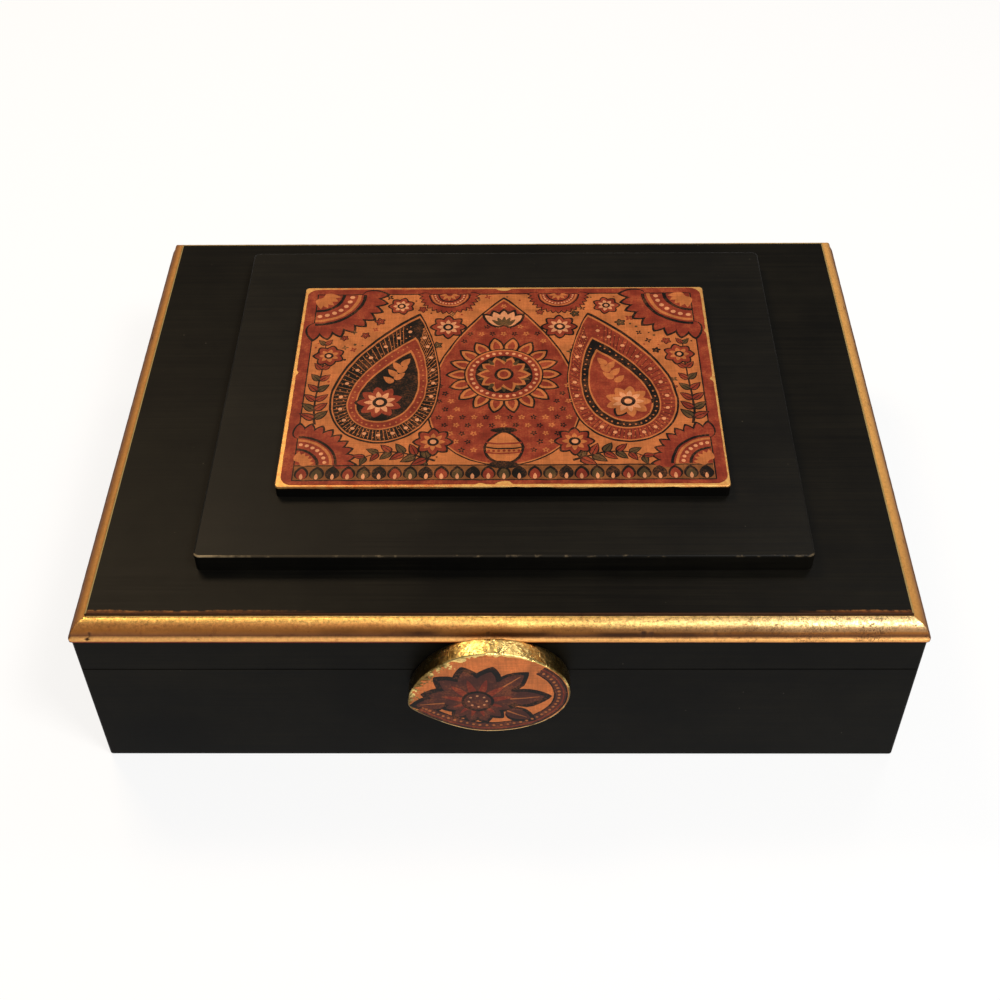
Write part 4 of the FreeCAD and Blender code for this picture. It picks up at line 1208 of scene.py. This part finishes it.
def scatter(sheet, draw, taken, half_width, low, high, count):
    """Fill what is bare with small leaves, sprigs and dots; taken lists circles that are already full."""
    sizes = (0.6, 2.4)
    spacing = 0.7
    outlined_from = 1.7
    sprigs_from = 1.1
    for _ in range(count):
        at = (draw.uniform(-half_width, half_width), draw.uniform(low, high))
        size = draw.uniform(*sizes)
        if any(math.hypot(at[0] - x, at[1] - y) < reach + size for x, y, reach in taken):
            continue
        taken.append((*at, size + spacing))
        ink = draw.choice(("dark", "red", "red", "red", "olive"))
        turn = draw.uniform(0, math.tau)
        if size > outlined_from:
            sheet.petals("dark", 3, at, 5, 0.2, size, size * 0.75, turn, point=0.2)
            sheet.petals(ink, 4, at, 5, 0.3, size * 0.75, size * 0.45, turn, point=0.2)
        elif size > sprigs_from:
            sheet.petals(ink, 3, at, 4, 0.2, size, size * 0.6, turn, point=0.2)
        else:
            sheet.disc(ink, 3, at, size * 0.6, segments=10)


def laid(place, angle, axis):
    """The matrix that lays a drawing in millimetres at a place, turned about an axis."""
    return Matrix.Translation(place) @ Matrix.Rotation(angle, 4, axis) @ Matrix.Scale(MM, 4)


def thicken_paper(shape, thickness, matrix):
    """Give a flat paper its thickness and lay it in its place."""
    bmesh.ops.translate(shape, verts=extrude_all(shape), vec=(0, 0, thickness))
    bmesh.ops.recalc_face_normals(shape, faces=shape.faces)
    bmesh.ops.transform(shape, matrix=matrix, verts=shape.verts)


def torn_paper(width, depth):
    """The plaque's paper in millimetres round the origin, with hand-cut edges and torn notches."""
    corner = 4.5
    unevenness = 0.15
    raggedness = 0.3
    cut_size = 6
    tear_size = 0.9
    side_cuts = 110
    notches = (
        (0, -depth / 2, 3.4, 1.6), (-9, -depth / 2, 1.6, 0.8), (width / 2, 0, 1.6, 1.2),
        (width / 2, 30, 1.2, 0.7), (0, depth / 2, 3.2, 1.2), (-width / 2, 5, 1.4, 0.7))
    shape = bmesh.new()
    bmesh.ops.create_grid(shape, x_segments=1, y_segments=1, size=0.5)
    bmesh.ops.scale(shape, verts=shape.verts, vec=(width, depth, 1))
    bmesh.ops.bevel(shape, geom=shape.verts[:], offset=corner, segments=8, profile=0.5, affect="VERTICES",
                    material=-1)
    sides = [edge for edge in shape.edges if edge.calc_length() > 2 * corner]
    bmesh.ops.subdivide_edges(shape, edges=sides, cuts=side_cuts)
    for vert in shape.verts:
        inward = -vert.co.normalized()
        bite = unevenness * (1 + waver(vert.co, cut_size, 4))
        for x, y, radius, deep in notches:
            away = math.hypot(vert.co.x - x, vert.co.y - y) / radius
            if away < 1:
                bite += deep * (1 - away ** 4) * (1 + raggedness * waver(vert.co, tear_size))
        vert.co += inward * bite
    return shape


def ink_materials(settings, ground):
    """The printing inks, worn through to a ground."""
    wears = {
        "dark": 0.25, "red": 0.4, "ochre": 0.35, "olive": 0.35, "cream": 0.4, "earth": 0.35, "plum": 0.25}
    return {
        ink: printed_ink(f"printing_ink_{ink}", getattr(settings, ink),
                         settings.red if ink == "ochre" else ground, wear)
        for ink, wear in wears.items()
    }


def draw_garden(width, depth):
    """The plaque's picture in millimetres round the middle of its paper: drops, flowers and leaves about a
    medallion."""
    side_margin = 4.8
    foot_margin = 2.6
    head_margin = 4
    strewn_margin = 1.5
    half_width = width / 2 - side_margin
    low = -depth / 2 + foot_margin
    high = depth / 2 - head_margin
    sheet = InkSheet(("dark", "red", "ochre", "olive", "cream", "earth"))
    middle = (low + high) / 2
    for layer, ink, grow in ((1, "dark", 0.6), (2, "ochre", 0)):
        ground = level_path(half_width + grow, middle)
        sheet.stroke(ink, layer, ground, even(high - low + 2 * grow), steps=120)
    petal_band(sheet, half_width, low, height=7.5)
    arch(sheet, low, high)
    medallion(sheet, at=(0, 3), radius=23)
    vase(sheet, at=(0, low + 7.6), height=19)
    for side in (-1, 1):
        sheet.side = side
        half_garden(sheet, half_width, low, high, swap=side > 0)
    sheet.side = 1
    taken = filled_circles(half_width, low, high)
    scatter(sheet, random.Random(5), taken, half_width - strewn_margin, low + 9, high - strewn_margin,
            count=2500)
    return sheet


class PrintPlaque(bpy.types.Operator):
    """Lay the printed paper on the plaque"""

    bl_idname = "keepsake.print_plaque"
    bl_label = "Print Plaque"

    def execute(self, context):
        settings = context.scene.keepsake_print
        lo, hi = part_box("plaque_print")
        width = (hi.x - lo.x) / MM
        depth = (hi.y - lo.y) / MM
        middle = Vector(((lo.x + hi.x) / 2, (lo.y + hi.y) / 2, lo.z))
        middle.x += settings.laid_aside
        matrix = laid(middle, settings.laid_turn, "Z")
        paper = torn_paper(width, depth)
        thicken_paper(paper, settings.paper_thick / MM, matrix)
        border = printed_ink("printed_paper_border", settings.red, settings.ochre, wear=0.45)
        finish_piece("plaque_paper", paper, border, "lid", ["plaque_print"], smooth=False)
        sheet = draw_garden(width, depth)
        sheet.press("plaque", settings, ink_materials(settings, settings.ochre), matrix)
        return {"FINISHED"}


def pebble_outline(lo, hi, drop):
    """The pull's outline as a function of the angle and of an inset: an oval whose left tip hangs and whose
    lower left is cut short."""
    centre = (lo + hi) / 2
    half_width = (hi.x - lo.x) / 2
    half_height = (hi.z - lo.z) / 2
    shortening = 1.9

    def outline(angle, inset):
        leftward = max(-math.cos(angle), 0) ** 2
        hang = drop * leftward * (1 + shortening * min(math.sin(angle), 0))
        return Vector((
            centre.x + (half_width - inset) * math.cos(angle), 0,
            centre.z + (half_height - inset) * math.sin(angle) - hang * (1 - inset / half_height)))
    return outline


def pebble_section(settings, thickness):
    """Insets and depths of the pull's rings, from the back face round the edge onto the front face."""
    back_steps = 6
    side_steps = 12
    front_steps = 5
    face_rings = (0.6 * MM, 1.4 * MM)
    back, front = settings.back_round, settings.front_round
    run = thickness - back - front
    back_turns = [QUARTER * step / back_steps for step in range(back_steps + 1)]
    front_turns = [QUARTER * step / front_steps for step in range(1, front_steps + 1)]
    section = [(back * (1 - math.sin(turn)), back * (1 - math.cos(turn))) for turn in back_turns]
    section += [(0, back + run * step / side_steps) for step in range(1, side_steps + 1)]
    section += [
        (front * (1 - math.cos(turn)), thickness - front + front * math.sin(turn)) for turn in front_turns]
    return section + [(front + inset, thickness) for inset in face_rings]


def pebble(settings, outline, wall, thickness):
    """The pull's body: rings of its outline from back to front, crinkled round its edge. Its back lies on
    the lid's rail, clear of the base below and of the moulding's lip above."""
    shape = bmesh.new()
    turn = shape.verts.layers.float.new("turn")
    verts = bmesh.ops.create_circle(shape, cap_ends=True, segments=260, radius=1)["verts"]
    for vert in verts:
        vert[turn] = math.atan2(vert.co.y, vert.co.x)
    edges = shape.edges[:]
    for number, (inset, deep) in enumerate(pebble_section(settings, thickness)):
        if number:
            made = bmesh.ops.extrude_edge_only(shape, edges=edges)["geom"]
            edges = [item for item in made if isinstance(item, bmesh.types.BMEdge)
                     and all(vert not in verts for vert in item.verts)]
            verts = {vert for edge in edges for vert in edge.verts}
        for vert in verts:
            vert.co = outline(vert[turn], inset) + Vector((0, wall - deep, 0))
    bmesh.ops.contextual_create(shape, geom=edges)
    bmesh.ops.recalc_face_normals(shape, faces=shape.faces)
    crinkle_pebble(shape, settings, wall, thickness)
    return shape


def crinkle_pebble(shape, settings, wall, thickness):
    """Press lumps and folds into all of the pull but its flat front face, and trim its back to its seat."""
    lump_size = 9 * MM
    fold_size = 2.4 * MM
    face_depth = 0.1 * MM
    lump_share = 0.7
    fold_share = 0.75
    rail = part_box("lid_front_rail")
    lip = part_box("moulding_front")[0]
    shape.normal_update()
    shifts = []
    for vert in shape.verts:
        lump = 0.5 + 0.5 * waver(vert.co, lump_size, 2)
        fold = abs(waver(vert.co, fold_size, 3))
        reach = 1 if vert.co.y > wall - thickness + face_depth else 0
        dent = settings.crinkle * reach * (lump_share * lump + fold_share * fold)
        shifts.append((vert, -vert.normal * dent))
    for vert, shift in shifts:
        vert.co += shift
        if vert.co.z < rail[0].z:
            vert.co.y = min(vert.co.y, wall - settings.relief)
        elif vert.co.z > rail[1].z - settings.lip_gap:
            vert.co.y = min(vert.co.y, lip.y - settings.lip_gap)
        else:
            vert.co.y = min(vert.co.y, wall)


def pull_paper(settings, outline, centre):
    """The paper on the pull's face in millimetres round its middle, torn at the left."""
    margin = 0.15
    unevenness = 0.1
    cut_size = 0.22
    torn_depth = 3.2
    tear_size = 0.07
    shape = bmesh.new()
    ring = bmesh.ops.create_circle(shape, cap_ends=True, segments=440, radius=1)["verts"]
    for vert in ring:
        angle = math.atan2(vert.co.y, vert.co.x)
        torn = max(-math.cos(angle + 0.5), 0) * max(waver(vert.co, tear_size, 4) + 0.3, 0)
        cut = margin + unevenness * (1 + waver(vert.co, cut_size, 3)) + torn_depth * torn
        place = (outline(angle, settings.front_round + cut * MM) - centre) / MM
        vert.co = (place.x, place.z, 0)
    return shape


def strew_flakes(sheet, edge, count):
    """Ragged flakes of leaf that strayed from the rim onto the upper left of the pull's print; edge gives a
    place on the paper for an angle and an inset."""
    corners = 9
    half_turn = corners // 2
    draw = random.Random(3)
    for _ in range(count):
        inset = 1.2 + 5 * draw.random() ** 2
        at = edge(math.radians(draw.uniform(105, 185)), inset)
        size = draw.uniform(0.3, 1) * (1.3 - 0.15 * inset)
        ragged = [draw.uniform(0.5, 1.2) for _ in range(corners)]

        def flake(x, y, at=at, size=size, ragged=ragged):
            reach = size * ragged[round(half_turn + half_turn * math.atan2(y, x) / math.pi) % corners]
            return at[0] + reach * x, at[1] + reach * y
        sheet.blob("leaf", 1, flake, corners)


def print_band(sheet, edge):
    """A dark band with a dotted line along the right and lower edge of the pull's print; edge gives a place
    on the paper for an angle and an inset."""
    start = math.radians(200)
    sweep = math.radians(205)
    dots = 36

    def along(inset):
        return lambda t: edge(start + sweep * t, inset)
    bands = (("dark", 3.6, 5), ("plum", 3.6, 3.8), ("red", 2.6, 0.5))
    for layer, (ink, inset, width) in enumerate(bands, 1):
        sheet.stroke(ink, layer, along(inset), even(width), steps=80)
    sheet.dots("ochre", 3, [along(4.2)(number / dots) for number in range(dots + 1)], 0.55)


def large_flower(sheet, at):
    """The flower on the pull: two fans of petals about a dotted heart, and four leaves."""
    for start, sweep, size in ((0.2, math.pi - 0.4, 20), (math.pi + 0.35, math.pi - 0.7, 13)):
        for layer, (ink, root, length, width) in enumerate(
                (("dark", 1, 1, 0.62), ("plum", 2, 0.8, 0.42), ("red", 3, 0.5, 0.12)), 2):
            sheet.petals(ink, layer, at, 6, root, size * length, size * width, start, sweep, 0.3)
    sheet.rings(5, at, 6, (("dark", 1, 22), ("plum", 0.8, 22)))
    sheet.dots("cream", 7, [on_circle(at, 3.2, 0.8 * number) for number in range(8)], 0.5)
    for heading, size in ((0.12, 15), (math.pi + 0.1, 13), (0.75, 13), (-0.5, 12)):
        foot = on_circle(at, 12, heading)
        tip = on_circle(foot, size * 0.7, heading)
        sheet.petal("dark", 2, foot, heading, size, size * 0.65, 0.4)
        sheet.petal("plum", 3, foot, heading, size * 0.82, size * 0.45, 0.4)
        sheet.stroke("ochre", 4, bezier(foot, foot, tip, tip), tapered(0.8), steps=4)


class MakePull(bpy.types.Operator):
    """Build the gilded pull with its print"""

    bl_idname = "keepsake.make_pull"
    bl_label = "Make Pull"

    def execute(self, context):
        settings = context.scene.keepsake_pull
        prints = context.scene.keepsake_print
        lo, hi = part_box("pull_body")
        outline = pebble_outline(lo, hi, settings.tip_drop)
        leaf = crinkled_leaf(settings)
        body = pebble(settings, outline, hi.y, hi.y - lo.y)
        finish_piece("gilded_pull", body, leaf, "lid", ["pull_body"])

        centre = outline(0, 0).lerp(outline(math.pi, 0), 0.5)
        matrix = laid((centre.x, lo.y, centre.z), QUARTER, "X")
        paper = pull_paper(settings, outline, centre)
        thicken_paper(paper, prints.paper_thick / MM, matrix)
        ground = printed_ink("printed_paper_orange", prints.orange, prints.red, wear=0.3)
        finish_piece("pull_paper", paper, ground, "lid", ["pull_print"], smooth=False)

        def edge(angle, inset):
            place = (outline(angle, inset * MM) - centre) / MM
            return place.x, place.z
        sheet = InkSheet(("dark", "red", "cream", "ochre", "plum", "leaf"))
        print_band(sheet, edge)
        strew_flakes(sheet, edge, settings.flakes)
        large_flower(sheet, at=(-4, -1))
        sheet.press("pull", prints, {**ink_materials(prints, prints.orange), "leaf": leaf}, matrix)
        return {"FINISHED"}


def felt_sheet(lo, hi, upwards, ease):
    """A felt of the size of a box, flat where it is glued, with a soft uneven face and eased edges."""
    swell_size = 25 * MM
    swell_share = 0.08
    edge_share = 0.5
    size = hi - lo
    middle = (lo + hi) / 2
    glued = lo.z if upwards else hi.z
    sense = 1 if upwards else -1
    shape = bmesh.new()
    bmesh.ops.create_grid(shape, x_segments=150, y_segments=112, size=0.5)
    bmesh.ops.transform(shape, verts=shape.verts, matrix=Matrix.Translation((middle.x, middle.y, glued))
                        @ Matrix.Diagonal((size.x, size.y, 1, 1)))
    for vert in extrude_all(shape):
        edge = min(vert.co.x - lo.x, hi.x - vert.co.x, vert.co.y - lo.y, hi.y - vert.co.y)
        sunk = edge_share * max(1 - edge / ease, 0) ** 2 + swell_share * (1 + waver(vert.co, swell_size))
        vert.co.z += sense * size.z * (1 - sunk)
    bmesh.ops.recalc_face_normals(shape, faces=shape.faces)
    return shape


class LayFelt(bpy.types.Operator):
    """Lay the felt on the floor of the base and glue the other inside the lid"""

    bl_idname = "keepsake.lay_felt"
    bl_label = "Lay Felt"

    def execute(self, context):
        settings = context.scene.keepsake_lining
        material = wool_felt(settings)
        for node, body, carrier, held, upwards in (
                ("base_floor_lining", "base", "base_bottom_panel", "laid", True),
                ("lid_lining", "lid", "lid_top_panel", "stretched", False)):
            lo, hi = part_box(node)
            felt = felt_sheet(lo, hi, upwards, settings.edge_ease)
            piece = finish_piece(f"felt_{node}", felt, material, body, [node])
        return {"FINISHED"}


class FinishFittings(bpy.types.Operator):
    """Give the hinges, screws and bottom panel their finish"""

    bl_idname = "keepsake.finish_fittings"
    bl_label = "Finish Fittings"

    def execute(self, context):
        settings = context.scene.keepsake_metal
        brass = aged_metal("aged_brass", settings.brass, settings.tarnish, settings.brass_dulling)
        steel = aged_metal("plain_steel", settings.steel, settings.dull_steel, settings.steel_dulling)
        dress(brass, BRASS_NODES)
        dress(steel, ["pull_screws"])
        dress(birch_plywood(settings), ["base_bottom_panel"])
        return {"FINISHED"}


def soft_box(name, power, size, place, colour):
    """A square soft light that looks at the middle of the box."""
    target = Vector((0, 0, 60 * MM))
    lamp = bpy.data.lights.new(name, "AREA")
    lamp.energy = power
    lamp.color = colour
    lamp.shape = "SQUARE"
    lamp.size = size
    holder = bpy.data.objects.new(name, lamp)
    holder.location = place
    holder.rotation_euler = (target - Vector(place)).to_track_quat("-Z", "Y").to_euler()
    bpy.context.scene.collection.objects.link(holder)


def lay_floor(settings):
    """A wide plain floor a hair below the box."""
    half_width = 40
    shape = bmesh.new()
    bmesh.ops.create_grid(shape, x_segments=1, y_segments=1, size=half_width)
    mesh = bpy.data.meshes.new("studio_floor")
    shape.to_mesh(mesh)
    shape.free()
    mesh.materials.append(pale_floor(settings))
    floor = bpy.data.objects.new("studio_floor", mesh)
    floor.location.z = -0.2 * MM
    bpy.context.scene.collection.objects.link(floor)


def set_camera(settings):
    """A camera that stands and looks as the one that took the photo."""
    camera = bpy.data.cameras.new("photo_camera")
    camera.sensor_width = 36
    camera.lens = settings.lens
    holder = bpy.data.objects.new("photo_camera", camera)
    turned = Matrix.Rotation(settings.camera_yaw, 4, "Z")
    turned = turned @ Matrix.Rotation(QUARTER - settings.camera_pitch, 4, "X")
    turned = turned @ Matrix.Rotation(settings.camera_roll, 4, "Z")
    holder.matrix_world = Matrix.Translation(settings.camera_place) @ turned
    bpy.context.scene.collection.objects.link(holder)
    bpy.context.scene.camera = holder


class SetStage(bpy.types.Operator):
    """Set the floor, the light and the camera"""

    bl_idname = "keepsake.set_stage"
    bl_label = "Set Stage"

    def execute(self, context):
        settings = context.scene.keepsake_stage
        lay_floor(settings)
        world = bpy.data.worlds.new("studio_room")
        world.use_nodes = True
        backdrop = world.node_tree.nodes["Background"]
        backdrop.inputs["Color"].default_value = (*settings.sky, 1)
        backdrop.inputs["Strength"].default_value = settings.sky_strength
        context.scene.world = world
        for name, size, place, colour in (
                ("window", 0.35, (-0.45, 0.5, 1.06), settings.window),
                ("ceiling", 0.32, (0.5, -0.55, 1.14), settings.sky),
                ("lamp", 0.25, (0.47, 0.52, 1.1), settings.sky),
                ("fill", 0.9, (0.1, -1.15, 1.05), settings.sky)):
            soft_box(f"{name}_soft_box", getattr(settings, f"{name}_power"), size, place, colour)
        set_camera(settings)
        context.scene.view_settings.view_transform = "Standard"
        return {"FINISHED"}


class KeepsakePanel(bpy.types.Panel):
    """The steps that finish the box"""

    bl_idname = "VIEW3D_PT_keepsake_box"
    bl_label = "Keepsake Box"
    bl_space_type = "VIEW_3D"
    bl_region_type = "UI"
    bl_category = "Keepsake Box"

    def draw(self, context):
        for step in STEPS:
            self.layout.operator(step.bl_idname)


SETTINGS = {
    "keepsake_lacquer": LacquerSettings, "keepsake_gilding": GildingSettings,
    "keepsake_print": PrintSettings, "keepsake_pull": PullSettings, "keepsake_lining": LiningSettings,
    "keepsake_metal": MetalSettings, "keepsake_stage": StageSettings,
}
STEPS = (PaintBoards, GildMouldings, PrintPlaque, MakePull, LayFelt, FinishFittings, SetStage)


def register():
    """Make the settings, steps and panel known."""
    for name, group in SETTINGS.items():
        bpy.utils.register_class(group)
        setattr(bpy.types.Scene, name, bpy.props.PointerProperty(type=group))
    for item in (*STEPS, KeepsakePanel):
        bpy.utils.register_class(item)


def unregister():
    """Take back what register made known."""
    for item in (KeepsakePanel, *reversed(STEPS)):
        bpy.utils.unregister_class(item)
    for name, group in SETTINGS.items():
        delattr(bpy.types.Scene, name)
        bpy.utils.unregister_class(group)


def main():
    """Run every step in order."""
    register()
    bpy.ops.keepsake.paint_boards()
    bpy.ops.keepsake.gild_mouldings()
    bpy.ops.keepsake.print_plaque()
    bpy.ops.keepsake.make_pull()
    bpy.ops.keepsake.lay_felt()
    bpy.ops.keepsake.finish_fittings()
    bpy.ops.keepsake.set_stage()


if __name__ == "__main__":
    main()
